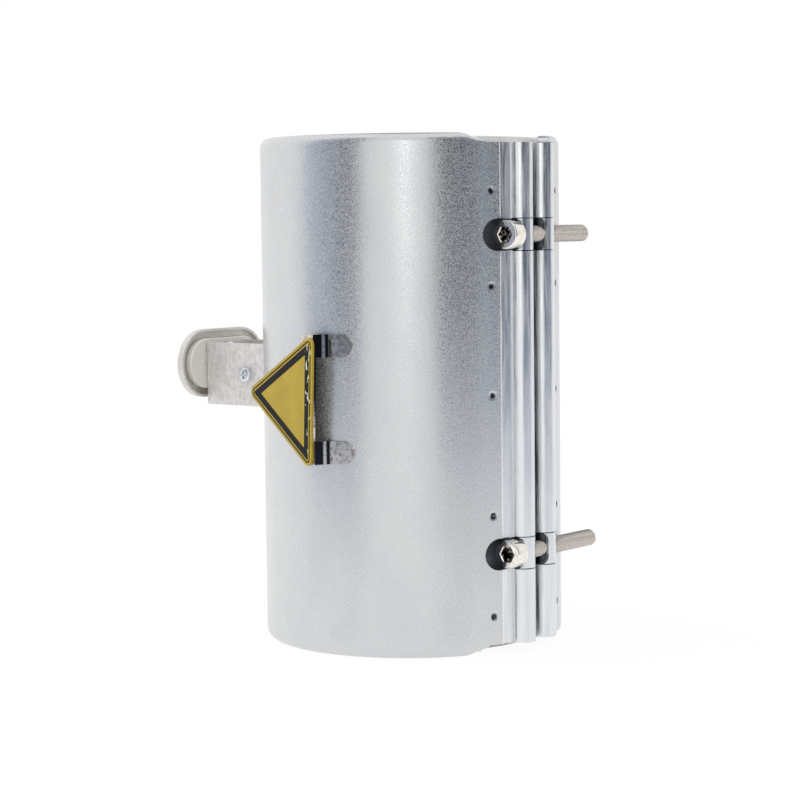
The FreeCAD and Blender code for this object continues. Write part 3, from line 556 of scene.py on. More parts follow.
class Finish(Enum):
    """Every finish on the heater, named for what it is."""

    JACKET = AluminisedSheet("pressed_aluminised_sheet", pressed=True)
    STRIP = AluminisedSheet("rolled_aluminised_sheet", "#E6E8EB", "#DCDFE2", grain_mm=0.9, stretch=UPRIGHT,
                            frost=0.34)
    # Inner sheets: painted light on their pale ends and painted shade on their darker, bluer middle.
    INNER = PaintedLightAndShadeSheet()
    # Electro-plated steel sheet, dull and mottled, with faint upright streaks from rolling.
    BRACKET = DullMetal("mottled_plated_sheet", "#E9E5E2", "#CBC7C4", 1.6, 4.0, (0.55, 0.42), 0.02, 0.4)
    # Die-cast and tumbled aluminium: an even satin, a little warm, with a fine stippled skin.
    SHELL = DullMetal("tumbled_aluminium", "#DFDBD6", "#C9C5C0", 0.5, 3.0, (0.52, 0.40), 0.015)
    # Polished rolled stainless: smudges partly from hands and partly painted reflection, and painted
    # reflection at its bends.
    BRIGHT = PlatedMetal("polished_stainless", "#D2CDC6", "#67615A", 0.14, mark_mm=1.3, marks=0.9,
                         painted_reflection_bands=((-86.4, -85.0), (-84.2, -83.7)))
    # Bright nickel over turned steel: a clear, slightly warm mirror.
    NICKEL = PlatedMetal("nickel_plate", "#F1EDE6", "#C2B8A8", 0.12)
    # The same nickel on a cut thread, duller, with grease and shade in its grooves.
    THREAD = PlatedMetal("nickel_plated_thread", "#D6D0C8", "#A59C92", 0.30, mark_mm=0.6, groove="#7F776E")
    # Hot-rolled bar, blackened by heat: a dark, even sheen.
    BAR = PlatedMetal("blackened_steel", "#4A4D55", "#2C2E33", 0.38)
    # Punched hexagon socket: bright torn steel, dark smudges partly from the punch and partly painted shade,
    # and near-black painted shade.
    SOCKET = PlatedMetal("punched_socket_with_painted_shade", "#C9C3BA", "#4A443D", 0.12, mark_mm=1.2, marks=0.8, wave_mm=1.4,
                         wave_depth_mm=0.05, streak="#0E0D0C")
    # Zinc on small fasteners: a cool, slightly cloudy shine.
    ZINC = PlatedMetal("zinc_plate", "#E2E4E6", "#B4BAC2", 0.20)
    # Drawn nickel wire: a soft warm sheen.
    LEAD = PlatedMetal("nickel_wire", "#CFC8BC", "#9A9184", 0.30)
    # Nickel-chromium coil after heat: dull brown-grey oxide.
    COIL = PlatedMetal("oxidised_resistance_wire", "#6B6259", "#453D36", 0.45)
    CERAMIC = Steatite()
    FELT = FibreFelt()
    YELLOW = Enamel("yellow_enamel", "#A99128", "#9C8522")
    # Black print, with painted glints in pale flecks near the plate's upright side.
    BLACK = Enamel("black_enamel", "#121615", "#0B0D0C", ripple_mm=1.6, ripple_depth_mm=0.05, ior=1.22,
                   has_painted_glints=True)

    @property
    def material(self) -> bpy.types.Material:
        """The finish's material, built when it is first asked for."""
        made = bpy.data.materials.get(self.value.name)
        return made or self.value.build()


def new_object(name: str, mesh: bpy.types.Mesh) -> bpy.types.Object:
    """Put a mesh into the scene as an object at the origin.

    Args:
        name: the object's name.
        mesh: its mesh.

    Returns:
        The object.
    """
    made = bpy.data.objects.new(name, mesh)
    bpy.context.scene.collection.objects.link(made)
    return made


def grid_mesh(name: str, rows: np.ndarray, around: bool = False, caps: bool = False,
              keep: np.ndarray | None = None) -> bpy.types.Mesh:
    """Mesh of a surface given as a grid of points, row after row.

    The point in row i and column j joins row i + 1 and column j + 1 with a four-sided face. With around,
    the last column joins the first; with caps, the first and last rows are each closed by a fan to their
    mean point.

    Args:
        name: the mesh's name.
        rows: array of rows by columns by 3, in metres.
        around: whether each row is a closed loop.
        caps: whether both ends are closed.
        keep: optional array of bool, one for each face of the open grid, for holes in it.

    Returns:
        The mesh, with smooth faces.
    """
    count, width = rows.shape[:2]
    index = np.arange(count * width).reshape(count, width)
    right = np.roll(index, -1, axis=1) if around else index[:, 1:]
    left = index if around else index[:, :-1]
    quads = np.stack([left[:-1], right[:-1], right[1:], left[1:]], axis=-1)
    quads = quads[keep] if keep is not None else quads.reshape(-1, 4)
    points = rows.reshape(-1, 3)
    faces = quads.tolist()
    if caps:
        points = np.vstack([points, rows[[0, -1]].mean(axis=1)])
        low, high = count * width, count * width + 1
        faces += np.stack([right[0], left[0], np.full(width, low)], axis=-1).tolist()
        faces += np.stack([left[-1], right[-1], np.full(width, high)], axis=-1).tolist()
    mesh = bpy.data.meshes.new(name)
    mesh.from_pydata(points.tolist(), [], faces)
    mesh.validate()
    mesh.shade_smooth()
    return mesh


def mend(mesh: bpy.types.Mesh, merge_mm: float = 0.001, outwards: bool = True) -> None:
    """Merge a mesh's doubles and drop its points with no face.

    Args:
        mesh: the mesh, which is changed.
        merge_mm: how far apart doubles may be; 0 merges none.
        outwards: whether all its faces are turned outwards, as a closed shape needs.
    """
    work = bmesh.new()
    work.from_mesh(mesh)
    if merge_mm:
        bmesh.ops.remove_doubles(work, verts=work.verts, dist=merge_mm * MM)
    bmesh.ops.delete(work, geom=[v for v in work.verts if not v.link_faces], context="VERTS")
    if outwards:
        bmesh.ops.recalc_face_normals(work, faces=work.faces)
    work.to_mesh(mesh)
    work.free()


def store(mesh: bpy.types.Mesh, name: str, values: np.ndarray) -> None:
    """Keep one number for each point of a mesh as an attribute."""
    mesh.attributes.new(name, "FLOAT", "POINT").data.foreach_set("value", values.ravel().astype(np.float32))


def crease(mesh: bpy.types.Mesh, degrees: float) -> None:
    """Shade a mesh smooth, with sharp edges where faces meet at more than an angle."""
    mesh.shade_smooth()
    mesh.set_sharp_from_angle(angle=math.radians(degrees))


def round_edges(piece: bpy.types.Object, name: str, width_mm: float, segments: int,
                degrees: float) -> bpy.types.BevelModifier:
    """Round the edges where a piece's faces meet at more than an angle.

    Args:
        piece: the piece.
        name: the modifier's name.
        width_mm: the rounding's width.
        segments: how many faces it has across.
        degrees: the angle.

    Returns:
        The modifier.
    """
    edge = piece.modifiers.new(name, "BEVEL")
    edge.width, edge.segments = width_mm * MM, segments
    edge.limit_method, edge.angle_limit = "ANGLE", math.radians(degrees)
    return edge


def apply_modifiers(piece: bpy.types.Object) -> None:
    """Replace a piece's mesh by what its modifiers make of it, and take them off.

    Args:
        piece: the piece.
    """
    bpy.context.view_layer.update()
    graph = bpy.context.evaluated_depsgraph_get()
    mesh = bpy.data.meshes.new_from_object(piece.evaluated_get(graph))
    piece.modifiers.clear()
    piece.data = mesh


def dress(piece: bpy.types.Object, finish: Finish, body: str = BAND,
          stands_for: Sequence[str] = ()) -> None:
    """Give a new piece its material, hide the nodes that it stands for and hang it on its body.

    Args:
        piece: the piece.
        finish: its finish.
        body: the body that it rides on.
        stands_for: the nodes that it replaces.
    """
    piece.data.materials.clear()
    piece.data.materials.append(finish.material)
    if stands_for:
        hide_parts(*stands_for)
    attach(piece, body)
    LOG.info("%s: %d points in %s", piece.name, len(piece.data.vertices), finish.name.lower())


def prism(outline: tuple, start: float, end: float, axis: int) -> np.ndarray:
    """End outlines of a prism that runs along X or Y.

    Args:
        outline: the outline's coordinates along the other level axis and along Z, in millimetres.
        start: where the prism starts on its axis, in millimetres.
        end: where it ends.
        axis: 0 for a prism along X, 1 for one along Y.

    Returns:
        Array of 2 by points by 3, in metres.
    """
    level, up = outline
    ends = np.array([start, end])[:, None]
    order = (ends, level, up) if axis == 0 else (level, ends, up)
    return np.stack(np.broadcast_arrays(*order), axis=-1) * MM


def cut_away(piece: bpy.types.Object, prisms: Iterable[np.ndarray]) -> None:
    """Cut closed prisms out of a piece, after its other modifiers, and apply them all.

    Args:
        piece: the piece.
        prisms: their end outlines, as prism gives them.
    """
    cutters = []
    for number, rows in enumerate(prisms):
        mesh = grid_mesh(f"{piece.name}_cutter_{number}", rows, around=True, caps=True)
        mend(mesh)
        cutters.append(new_object(mesh.name, mesh))
        cut = piece.modifiers.new(mesh.name, "BOOLEAN")
        cut.object, cut.solver = cutters[-1], "EXACT"
    apply_modifiers(piece)
    for cutter in cutters:
        bpy.data.objects.remove(cutter)


def polar(radius: np.ndarray, degrees: np.ndarray, z: np.ndarray) -> np.ndarray:
    """Points at a radius and an angle from +X, given in millimetres and degrees, as metres."""
    turn = np.radians(degrees)
    return np.stack(np.broadcast_arrays(radius * np.cos(turn), radius * np.sin(turn), z), axis=-1) * MM


@dataclass
class FinishedNode:
    """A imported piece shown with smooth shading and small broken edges, from a merged copy of its mesh."""

    node: str
    finish: Finish
    slot: str
    body: str = BAND
    bevel_mm: float = 0.0
    sharp_degrees: float = 28.0
    bevel_degrees: float = 50.0
    merge_mm: float = 0.0005

    def build(self) -> bpy.types.Object:
        """Make the piece, which stands for its node.

        Returns:
            The piece.
        """
        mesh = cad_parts[self.node].data.copy()
        mesh.name = f"{self.node}_finished"
        mend(mesh, self.merge_mm, outwards=False)
        if mesh.has_custom_normals:
            mesh.attributes.remove(mesh.attributes["custom_normal"])
        crease(mesh, self.sharp_degrees)
        piece = new_object(f"{self.node}_finished", mesh)
        if self.bevel_mm:
            round_edges(piece, "broken_edges", self.bevel_mm, 2, self.bevel_degrees).harden_normals = True
        dress(piece, self.finish, self.body, [self.node])
        return piece


@dataclass
class Jacket:
    """Rolled sheet jacket: one skin carried round the bore, with rolled rims, spot-weld marks and slots.

    Sizes are in millimetres. Each name with half in it is a distance from the middle of the gap, and each
    depth of a slot or hole is where its cut starts and ends.
    """

    sheet: float = 0.8
    shoulder: float = 3.4
    lip_inner: float = 47.0
    weld_half: float = 19.6
    weld_heights: tuple = (-77.0, -41.8, 0.0, 37.9, 70.7)
    weld_radius: float = 1.15
    weld_depth: float = 0.4
    jacket_end_half: float = 16.0
    rim_end_half: float = 21.4
    slot_radius: float = 5.6
    slot_end: float = 17.1
    slot_depth: tuple = (40.0, 64.0)
    hole_radius: float = 3.35
    hole_depth: tuple = (9.0, 23.3)
    edge: float = 0.3
    flare: float = 0.3
    flare_width: float = 0.5
    slope_half: float = 29.0
    slope_end: float = 0.4
    step_degrees: float = 1.5
    bend_points: int = 10
    wall_points: int = 36
    slot_points: int = 33
    hole_step: int = 10
    edge_degrees: float = 60.0
    sharp_degrees: float = 40.0
    near: float = 0.01
    radius: float = field(init=False)
    half_length: float = field(init=False)
    wall_top: float = field(init=False)
    mark_steps: np.ndarray = field(init=False)

    def __post_init__(self) -> None:
        """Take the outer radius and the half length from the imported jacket."""
        _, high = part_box("outer_jacket")
        self.radius = high.y / MM
        self.half_length = high.z / MM
        self.wall_top = self.half_length - self.shoulder
        self.mark_steps = np.linspace(-2, 2, 13)

    def angle(self, half_width: float) -> float:
        """Angle from the gap's middle to a point that far from it on the jacket."""
        return math.degrees(math.asin(half_width / self.radius))

    def profile(self) -> np.ndarray:
        """Work out the outer skin's section: lip, quarter circle, straight wall, quarter circle, lip.

        Returns:
            Radius and height of each point, from the lower lip to the upper.
        """
        bend, centre = np.radians(np.linspace(0, 90, self.bend_points)), self.radius - self.shoulder
        arc = (centre + self.shoulder * np.cos(bend), self.wall_top + self.shoulder * np.sin(bend))
        upper = np.vstack([np.stack(arc, axis=1), [self.lip_inner, self.half_length]])
        even = np.linspace(-self.wall_top, self.wall_top, self.wall_points)[1:-1]
        fine = [z + self.weld_radius * self.mark_steps for z in self.weld_heights]
        heights = np.unique(np.concatenate([even, *fine]).round(3))
        wall = np.stack([np.full_like(heights, self.radius), heights], axis=1)
        return np.vstack([upper[::-1] * [1, -1], wall, upper])

    def columns(self) -> np.ndarray:
        """Work out the angles of the grid's columns, closer together at the weld marks.

        Returns:
            Degrees from the gap's middle, from one end of the jacket round to the other.
        """
        halves = (self.jacket_end_half, self.rim_end_half, self.weld_half)
        end, rim, weld = (self.angle(half) for half in halves)
        fine = np.degrees(self.weld_radius / self.radius) * self.mark_steps
        even = np.arange(rim + self.step_degrees, 360 - rim, self.step_degrees)
        ends = np.array([end, end + math.degrees(self.flare_width / self.radius), rim])
        columns = np.concatenate([ends, 360 - ends, even, weld + fine, 360 - weld + fine])
        return np.unique(columns.round(4))

    def weld_share(self, angles: np.ndarray, heights: np.ndarray) -> np.ndarray:
        """How deep in a weld mark points lie.

        A mark is exp of minus the fourth power of the distance over its radius.

        Args:
            angles: degrees from the gap's middle.
            heights: heights along the bore.

        Returns:
            1 in a mark's middle, falling to 0 round it.
        """
        share = np.zeros(np.broadcast(angles, heights).shape)
        for side in (-1, 1):
            middle = (side * self.angle(self.weld_half)) % 360
            across = np.radians(angles - middle) * self.radius
            for z in self.weld_heights:
                share += np.exp(-(((across**2 + (heights - z) ** 2) / self.weld_radius**2) ** 2))
        return share

    def sloped(self, angles: np.ndarray, heights: np.ndarray) -> np.ndarray:
        """Lower the rolled rims towards their ends beside the gap, by a smooth step in the angle.

        Args:
            angles: degrees from the gap's middle, one for each column.
            heights: heights along the bore, one for each row.

        Returns:
            Height of each point, in rows by columns.
        """
        rim, full = self.angle(self.rim_end_half), self.angle(self.slope_half)
        ease = np.clip((np.minimum(angles, 360 - angles) - rim) / (full - rim), 0, 1)
        share = self.slope_end + (1 - self.slope_end) * ease * ease * (3 - 2 * ease)
        over = np.sign(heights) * np.clip(np.abs(heights) - self.wall_top, 0, None)
        return heights - over * (1 - share)[None, :]

    def skin(self) -> bpy.types.Object:
        """Make the outer skin as one sheet, to be thickened inwards: the section carried round the bore.

        Its points lie in by the depth of the weld marks and out by the flare of the sheared ends.

        Returns:
            The piece, with its modifiers live.
        """
        profile, angles = self.profile(), self.columns()
        radii, heights = profile[:, :1], profile[:, 1:]
        share = self.weld_share(angles[None, :], heights) * (radii > self.radius - self.near)
        end = (np.isclose(angles, angles[0]) | np.isclose(angles, angles[-1]))[None, :]
        reach = radii - self.weld_depth * share + self.flare * end
        rim = self.angle(self.rim_end_half) + self.near
        middle = (angles[1:] + angles[:-1]) / 2
        on_wall = np.abs(heights[:, 0]) <= self.wall_top + self.near
        keep = (on_wall[1:] & on_wall[:-1])[:, None] | ((middle > rim) & (middle < 360 - rim))[None, :]
        points = polar(reach, angles[None, :], self.sloped(angles, heights))
        mesh = grid_mesh("jacket_skin", points, keep=keep)
        store(mesh, "weld", np.clip(share, 0, 1))
        # Marks the cut ends for their painted highlight.
        store(mesh, "bare_end_painted_highlight", np.broadcast_to(end, share.shape))
        mend(mesh, merge_mm=0, outwards=False)
        piece = new_object("jacket_skin", mesh)
        wall = piece.modifiers.new("sheet", "SOLIDIFY")
        wall.thickness, wall.offset, wall.use_even_offset = self.sheet * MM, -1, True
        round_edges(piece, "sheared_edge", self.edge, 3, self.edge_degrees)
        return piece

    def openings(self) -> list[np.ndarray]:
        """Work out the prisms of the head slots and of the holes for the screws' ends.

        A slot's outline is a half circle round its far end, closed by two straight sides that run past the
        jacket's edge. A hole's outline is a full circle.

        Returns:
            The prisms, for cut_away.
        """
        bend = np.radians(np.linspace(90, 270, self.slot_points))
        spin = np.radians(np.arange(0, 360, self.hole_step))
        across = np.concatenate([-self.slot_end + self.slot_radius * np.cos(bend), [0.0, 0.0]])
        up = np.concatenate([self.slot_radius * np.sin(bend), [-self.slot_radius, self.slot_radius]])
        level = SCREW_X + self.hole_radius * np.cos(spin)
        made = []
        for z in (-SCREW_Z, SCREW_Z):
            made.append(prism((across, up + z), *self.slot_depth, axis=0))
            made.append(prism((level, z + self.hole_radius * np.sin(spin)), *self.hole_depth, axis=1))
        return made

    def build(self) -> None:
        """Make the jacket, in place of its node."""
        piece = self.skin()
        cut_away(piece, self.openings())
        crease(piece.data, self.sharp_degrees)
        piece.name = "jacket_finished"
        dress(piece, Finish.JACKET, BAND, ["outer_jacket"])


@dataclass
class ThreadedRod:
    """A screw or stud as one closed skin: rows of points carried along an axis, with a true helical thread.

    The thread's radius at turn u and length v is the outer radius less the depth times a flattened triangle
    wave of v / pitch - u / (2 pi). Sizes are in millimetres, and the seat, in metres, is under the head.
    """

    name: str
    node: str
    slot: str
    body: str
    seat: Vector
    axis: Vector
    length: float
    radius: float
    pitch: float
    plain: float = 0.0
    thread_share: float = 0.6
    flank: float = 1.25
    crest: float = 0.1
    head_radius: float = 0.0
    head_length: float = 0.0
    head_edge: float = 0.55
    chamfer: float = 0.25
    socket_flats: float = 0.0
    socket_depth: float = 0.0
    socket_tip: float = 0.6
    socket_floor: float = 0.82
    socket_mouth: float = 0.3
    socket_zone: tuple = (0.2, 0.7)
    socket_reach: float = 0.58
    pole: float = 0.02
    sharp_degrees: float = 38.0
    steps: int = 10
    across: int = 60

    def turns(self) -> np.ndarray:
        """Angles of the columns round the axis."""
        return np.linspace(0, 2 * np.pi, self.across, endpoint=False)

    def thread_rows(self) -> tuple[np.ndarray, np.ndarray, np.ndarray]:
        """Work out the shank's rows, from under the head to the tip.

        Returns:
            Distances along the axis, radii and how deep in the groove each point lies.
        """
        depth = self.thread_share * self.pitch
        along = np.arange(0, self.length + 1e-6, self.pitch / self.steps)
        turn = self.turns()[None, :]
        phase = (along[:, None] / self.pitch - turn / (2 * np.pi)) % 1
        wave = np.clip(np.abs(2 * phase - 1) * self.flank - self.crest, 0, 1)
        fade = np.clip((along - self.plain) / self.pitch, 0, 1)[:, None]
        taper = np.clip((along - (self.length - depth)) / depth, 0, 1)[:, None] * depth
        radii = np.minimum(self.radius - depth * wave * fade, self.radius - taper)
        return along, radii, wave * fade

    def head_rows(self) -> tuple[np.ndarray, np.ndarray]:
        """Work out the head's rows, from the socket's floor over the rounded top edge to the seat.

        A hexagon's radius is half its flats over the cosine of the angle from the nearest flat's middle.

        Returns:
            Distances along the axis, which are negative, and radii.
        """
        turn = self.turns()
        folded = (np.degrees(turn) + 30) % 60 - 30
        hexagon = self.socket_flats / 2 / np.cos(np.radians(folded))
        top, ring = -self.head_length, np.ones_like(turn)
        floor, bend = top + self.socket_depth, np.radians(np.linspace(0, 90, 7))
        inner = self.head_radius - self.head_edge
        rows = [(floor + self.socket_tip, self.pole * ring), (floor, self.socket_floor * hexagon)]
        rows += [(floor, hexagon), (top + self.chamfer, hexagon), (top, hexagon + self.socket_mouth)]
        rows += [(top + self.head_edge * (1 - math.cos(b)), (inner + self.head_edge * math.sin(b)) * ring)
                 for b in bend]
        rows += [(-self.chamfer, self.head_radius * ring), (0.0, (self.head_radius - self.chamfer) * ring)]
        return np.array([r[0] for r in rows]), np.array([r[1] for r in rows])

    def build(self) -> None:
        """Make the screw or stud, in place of its node."""
        along, radii, groove = self.thread_rows()
        if self.head_radius:
            head_along, head_radii = self.head_rows()
            along, radii = np.concatenate([head_along, along]), np.vstack([head_radii, radii])
            groove = np.vstack([np.zeros_like(head_radii), groove])
        axis = np.array(self.axis)
        side = np.cross(axis, [0, 0, 1.0])
        up = np.cross(side, axis)
        turn = self.turns()
        ring = np.cos(turn)[:, None] * up + np.sin(turn)[:, None] * side
        points = along[:, None, None] * axis + radii[..., None] * ring[None]
        mesh = grid_mesh(self.name, np.array(self.seat) + points * MM, around=True, caps=True)
        store(mesh, "groove", np.append(groove.ravel(), [0, 0]))
        mend(mesh)
        crease(mesh, self.sharp_degrees)
        piece = new_object(self.name, mesh)
        dress(piece, Finish.NICKEL if self.head_radius else Finish.ZINC, self.body, [self.node])
        if self.head_radius:
            piece.data.materials.append(Finish.THREAD.material)
            piece.data.materials.append(Finish.SOCKET.material)
            self.paint(piece)

    def paint(self, piece: bpy.types.Object) -> None:
        """Give the faces past the seat the thread's finish, and those inside the socket their own, with
        painted shade.

        The socket runs from a little inside the head's top to a little past the head's middle.

        Args:
            piece: the screw.
        """
        faces = piece.data.polygons
        centres = np.zeros(len(faces) * 3)
        faces.foreach_get("center", centres)
        offset = centres.reshape(-1, 3) - np.array(self.seat)
        along = offset @ np.array(self.axis)
        out = np.linalg.norm(offset - along[:, None] * np.array(self.axis), axis=1)
        near_top, past_middle = self.socket_zone
        inside = along > (near_top - self.head_length) * MM
        inside &= along < -0.5 * self.head_length * MM + past_middle * MM
        inside &= out < self.socket_reach * self.socket_flats * MM
        faces.foreach_set("material_index", np.where(inside, 2, along > 0.05 * MM).astype(np.int32))


@dataclass
class Sign:
    """Three-sided plate with rounded corners: yellow enamel with a thin and a broad dark border.

    Sizes are in millimetres, a line's two numbers are its insets from the plate's edge, and angle is the
    plate's turn round the bore.
    """

    angle: float = -106.3
    corner: float = 2.5
    least_corner: float = 0.35
    side: float = 48.0
    base: float = 20.4
    centre_z: float = -0.5
    slant: float = 2.5
    print_mm: float = 0.06
    sharp_degrees: float = 30.0
    fine_line: tuple = (1.0, 1.5)
    broad_line: tuple = (2.1, 4.5)
    face: float = field(init=False)

    def __post_init__(self) -> None:
        """Take the face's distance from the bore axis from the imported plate."""
        co = np.zeros(len(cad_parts["sign_plate"].data.vertices) * 3)
        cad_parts["sign_plate"].data.vertices.foreach_get("co", co)
        turn = math.radians(self.angle)
        self.face = float((co.reshape(-1, 3) @ [math.cos(turn), math.sin(turn), 0]).max() / MM)

    def outline(self, inset: float, points: int = 14) -> np.ndarray:
        """Work out a rounded triangle: an arc round each of three corners.

        Args:
            inset: how far it lies inside the plate's edge.
            points: how many points each arc has.

        Returns:
            Points in the plate's plane, across and up.
        """
        middle = self.base - self.side * math.sqrt(3) / 2 / 3
        corner = max(self.corner - inset, self.least_corner)
        reach = self.side / math.sqrt(3) - 2 * self.corner
        reach -= 2 * max(inset - self.corner + self.least_corner, 0)
        loops = []
        for turn in (180, 60, -60):
            a = math.radians(turn)
            arc = np.radians(np.linspace(turn + 60, turn - 60, points))
            loops.append(np.stack([middle + reach * math.cos(a) + corner * np.cos(arc),
                                   reach * math.sin(a) + corner * np.sin(arc)], axis=1))
        return np.vstack(loops)

    def place(self, flat: np.ndarray, distance: float) -> np.ndarray:
        """Put points of the plate's plane into the frame.

        Args:
            flat: the points, across and up.
            distance: how far the plane is from the bore axis.

        Returns:
            The points in metres.
        """
        turn, slant = math.radians(self.angle), math.radians(self.slant)
        normal = np.array([math.cos(turn), math.sin(turn), 0])
        across, up = np.array([-math.sin(turn), math.cos(turn), 0]), np.array([0, 0, 1.0])
        flat = flat @ np.array([[math.cos(slant), -math.sin(slant)], [math.sin(slant), math.cos(slant)]])
        return (distance * normal + flat[:, :1] * across + (flat[:, 1:] + self.centre_z) * up) * MM

    def border(self, name: str, outer: float, inner: float) -> None:
        """Make a closed printed band, a little proud of the plate.

        Args:
            name: the piece's name.
            outer: inset of its outer edge.
            inner: inset of its inner edge.
        """
        low, high = self.face, self.face + self.print_mm
        loops = [(outer, low), (outer, high), (inner, high), (inner, low), (outer, low)]
        rows = np.array([self.place(self.outline(inset), at) for inset, at in loops])
        mesh = grid_mesh(name, rows, around=True)
        mend(mesh)
        crease(mesh, self.sharp_degrees)
        dress(new_object(name, mesh), Finish.BLACK)

    def build(self) -> None:
        """Make the plate and its two printed bands."""
        FinishedNode("sign_plate", Finish.YELLOW, "sign_enamel", bevel_mm=0.15).build()
        self.border("sign_fine_line", *self.fine_line)
        self.border("sign_broad_line", *self.broad_line)


@dataclass
class Closure:
    """Clamp strips, bars and screws across the gap, with their sizes in millimetres."""

    window_half: float = 6.1
    window_reach: float = 4.1
    window_corner: float = 3.2
    window_depth: float = 6.0
    sharp_degrees: float = 28.0
    screw_radius: float = 3.0
    screw_pitch: float = 1.0
    screw_plain: float = 2.0
    head_radius: float = 5.0
    head_length: float = 6.0
    socket_flats: float = 5.0
    socket_depth: float = 3.0

    def open_windows(self, strip: bpy.types.Object) -> None:
        """Cut a window with two rounded corners through the front of the nut side's loop at each screw.

        The outline is a rectangle from the gap to window_reach, with quarter circles at its two far corners.

        Args:
            strip: the nut side's strip.
        """
        turn = np.radians(np.linspace(-90, 0, 9))
        inner = self.window_half - self.window_corner
        arc_y = self.window_reach - self.window_corner + self.window_corner * np.cos(turn)
        arc_z = self.window_corner * np.sin(turn) - inner
        ring_y = np.concatenate([[0.0], arc_y, arc_y[::-1], [0.0]])
        ring_z = np.concatenate([[-self.window_half], arc_z, -arc_z[::-1], [self.window_half]])
        depth = (SCREW_X, SCREW_X + self.window_depth)
        cut_away(strip, [prism((ring_y, ring_z + z), *depth, axis=0) for z in (-SCREW_Z, SCREW_Z)])
        crease(strip.data, self.sharp_degrees)

    def build(self) -> None:
        """Make the strips, the bars and the two screws."""
        for side in ("head", "nut"):
            strip = FinishedNode(f"{side}_side_strip", Finish.STRIP, "strip_sheet").build()
            if side == "nut":
                self.open_windows(strip)
            for place in ("lower", "upper"):
                FinishedNode(f"{place}_{side}_bar", Finish.BAR, "bar_steel", bevel_mm=0.2).build()
        for place, height in (("lower", -SCREW_Z), ("upper", SCREW_Z)):
            node = f"{place}_clamp_screw"
            low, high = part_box(node)
            seat_y = low.y + self.head_length * MM
            ThreadedRod(
                name=f"{node}_finished", node=node, slot="screw_steel", body=f"{place}_screw",
                seat=Vector((SCREW_X * MM, seat_y, height * MM)), axis=Vector((0, 1, 0)),
                length=(high.y - seat_y) / MM, radius=self.screw_radius, pitch=self.screw_pitch,
                plain=self.screw_plain, head_radius=self.head_radius, head_length=self.head_length,
                socket_flats=self.socket_flats, socket_depth=self.socket_depth,
            ).build()


@dataclass
class Terminal:
    """Bracket, shell, ceramic block, studs and small fasteners on the far side from the gap."""

    stud_radius: float = 2.0
    stud_pitch: float = 0.7

    def build(self) -> None:
        """Make every piece of the terminal."""
        FinishedNode("terminal_bracket", Finish.BRACKET, "bracket_sheet", bevel_mm=0.12).build()
        FinishedNode("terminal_shell", Finish.SHELL, "shell_metal", bevel_mm=0.3).build()
        FinishedNode("terminal_block", Finish.CERAMIC, "ceramic", bevel_mm=0.35).build()
        for node in ("stud_nuts", "housing_nuts", "earth_nut"):
            FinishedNode(node, Finish.ZINC, "plated_steel", bevel_mm=0.25).build()
        for node in ("housing_screws", "earth_screw"):
            FinishedNode(node, Finish.ZINC, "plated_steel", bevel_mm=0.08, sharp_degrees=35).build()
        FinishedNode("foot_rivets", Finish.ZINC, "rivet_steel").build()
        for place in ("lower", "upper"):
            node = f"{place}_lead_stud"
            low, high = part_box(node)
            ThreadedRod(
                name=f"{node}_finished", node=node, slot="plated_steel", body=BAND,
                seat=Vector((high.x, (low.y + high.y) / 2, (low.z + high.z) / 2)), axis=Vector((-1, 0, 0)),
                length=(high.x - low.x) / MM, radius=self.stud_radius, pitch=self.stud_pitch,
                across=36, steps=8,
            ).build()
            FinishedNode(f"{place}_lead_sleeve", Finish.CERAMIC, "ceramic", bevel_mm=0.2).build()
            FinishedNode(f"{place}_lead_wire", Finish.LEAD, "lead_nickel").build()


@dataclass
class Inside:
    """Tiles, coil, blanket and inner sheets."""

    rows: int = 7

    def build(self) -> None:
        """Make every piece inside the jacket."""
        for row in range(1, self.rows + 1):
            FinishedNode(f"tile_row_{row}", Finish.CERAMIC, "ceramic", bevel_mm=0.3).build()
        FinishedNode("heating_coil", Finish.COIL, "coil_wire").build()
        FinishedNode("insulation_blanket", Finish.FELT, "fibre_blanket").build()
        for node in ("gap_shield", "tile_stop"):
            FinishedNode(node, Finish.INNER, "inner_sheet").build()


def largest(tree: bpy.types.NodeTree, first: Socket, *others: Socket) -> Socket:
    """Compare several sockets.

    Args:
        tree: their node tree.
        first: one of them.
        others: the rest.

    Returns:
        The socket that carries the largest.
    """
    for other in others:
        first = add_node(tree, "ShaderNodeMath", {"operation": "MAXIMUM"}, {0: first, 1: other}).outputs[0]
    return first


@dataclass(frozen=True)
class Lamp:
    """Soft rectangular lamp: its turn and lift in degrees, its sizes in metres and its power in watts."""

    name: str
    turn: float
    lift: float
    reach: float
    width: float
    height: float
    power: float
    mirrored: bool = False


